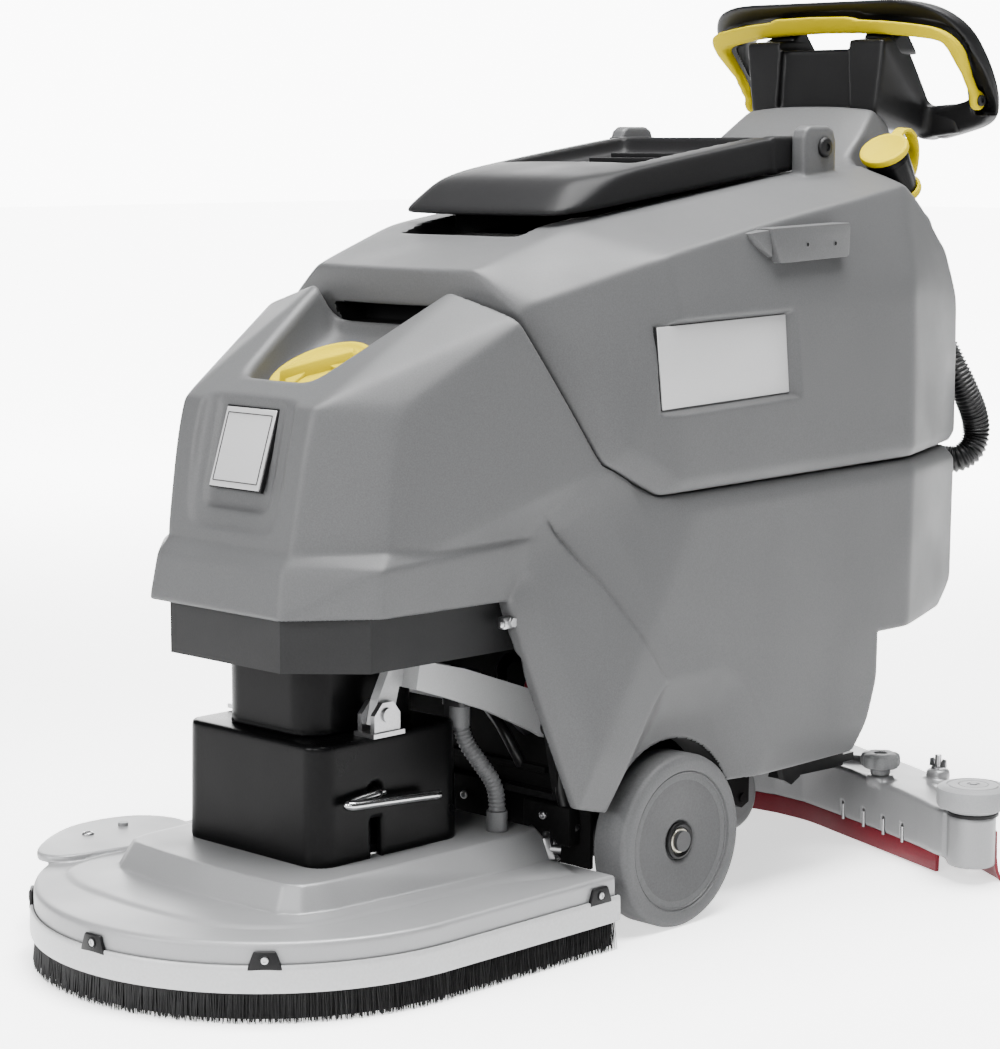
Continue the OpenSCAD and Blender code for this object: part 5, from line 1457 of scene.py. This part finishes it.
# ------------------------------------------------------------ looks of the remaining nodes
SLOTS = {s["node"]: s["material_slot"] for s in frame["record"]["subparts"]}
for name, ob in frame["nodes"].items():
    if not ob.hide_render:
        ob.data.materials.clear()
        ob.data.materials.append(MATS[SLOTS[name]])
        if name in ("front_band", "lift_arm", "clevis_bracket", "squeegee_arm", "caster_fork"):
            bv = ob.modifiers.new("edge", "BEVEL")
            bv.width, bv.segments, bv.limit_method, bv.angle_limit = 0.0012, 2, "ANGLE", math.radians(35)

# ------------------------------------------------------------ floor, light, camera
DEPTH = Vector((-0.7013, 0.7129, 0.0))


def ramp_of(nt, source, stops):
    r = nt.nodes.new("ShaderNodeMapRange")
    r.interpolation_type = "SMOOTHSTEP"
    r.inputs["From Min"].default_value, r.inputs["From Max"].default_value, r.inputs["To Min"].default_value, r.inputs["To Max"].default_value = stops
    nt.links.new(source, r.inputs["Value"])
    return r.outputs["Result"]


fl = bpy.data.meshes.new("floor")
fl.from_pydata([(-30, -30, 0), (30, -30, 0), (30, 30, 0), (-30, 30, 0)], [], [(0, 1, 2, 3)])
floor = bpy.data.objects.new("floor", fl)
bpy.context.scene.collection.objects.link(floor)
m = material("floor", (0.88, 0.88, 0.88), 0.6, grain=40, bump=0.0, var=0.01, smudge=0.02)
nt = m.node_tree
geo = nt.nodes.new("ShaderNodeNewGeometry")
dot = nt.nodes.new("ShaderNodeVectorMath")
dot.operation = "DOT_PRODUCT"
dot.inputs[1].default_value = DEPTH
nt.links.new(geo.outputs["Position"], dot.inputs[0])
shader = [n for n in nt.nodes if n.type == "BSDF_PRINCIPLED"][0]
shader.inputs["Emission Color"].default_value = (1, 1, 1, 1)
nt.links.new(ramp_of(nt, dot.outputs["Value"], (0.9, 4.5, 1.3, 8.0)), shader.inputs["Emission Strength"])
fl.materials.append(m)
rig.stage(floor)


def area(name, loc, target, size, power, size_y=None):
    d = bpy.data.lights.new(name, "AREA")
    d.energy = power
    d.shape = "RECTANGLE"
    d.size = size
    d.size_y = size_y or size
    o = bpy.data.objects.new(name, d)
    bpy.context.scene.collection.objects.link(o)
    o.location = loc
    o.rotation_euler = (Vector(target) - Vector(loc)).to_track_quat("-Z", "Y").to_euler()
    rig.stage(o)
    return o


area("top", (0.3, 0.0, 3.6), (0.05, 0.05, 0.7), 2.0, 710, 2.8)
area("key", (1.5, -3.3, 1.9), (0.0, -0.2, 0.5), 1.1, 115)
area("front", (-0.6, -3.6, 1.6), (0.0, -0.2, 0.5), 1.1, 144)
area("lens", (2.35, -2.3, 1.25), (0.0, -0.1, 0.5), 0.6, 10)
area("back", (0.4, 1.6, 3.2), (0.0, 0.1, 0.6), 1.6, 92)

w = bpy.data.worlds.new("studio")
bpy.context.scene.world = w
w.use_nodes = True
nt = w.node_tree
back = nt.nodes["Background"]
back.inputs[0].default_value = (1, 1, 1, 1)
wc = nt.nodes.new("ShaderNodeTexCoord")
dot = nt.nodes.new("ShaderNodeVectorMath")
dot.operation = "DOT_PRODUCT"
dot.inputs[1].default_value = DEPTH
nt.links.new(wc.outputs["Generated"], dot.inputs[0])
nt.links.new(ramp_of(nt, dot.outputs["Value"], (0.84, 0.965, 0.2, 10.5)), back.inputs[1])

cam = bpy.data.cameras.new("camera")
cam.sensor_width = 36
cam.sensor_fit = "AUTO"
cam.lens = 36 * 2779.36 / 1049
cam.clip_end = 60
co = bpy.data.objects.new("camera", cam)
co.location = (2.27180, -2.36008, 0.885)
co.rotation_euler = (math.radians(90 - 7.8118), 0, math.radians(44.5391))
bpy.context.scene.collection.objects.link(co)
bpy.context.scene.camera = co

LOW1, HIGH1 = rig.bounds()
with open("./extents.json", "w") as out:
    json.dump({"cad": [list(map(float, LOW0)), list(map(float, HIGH0))], "visual": [list(map(float, LOW1)), list(map(float, HIGH1))]}, out)
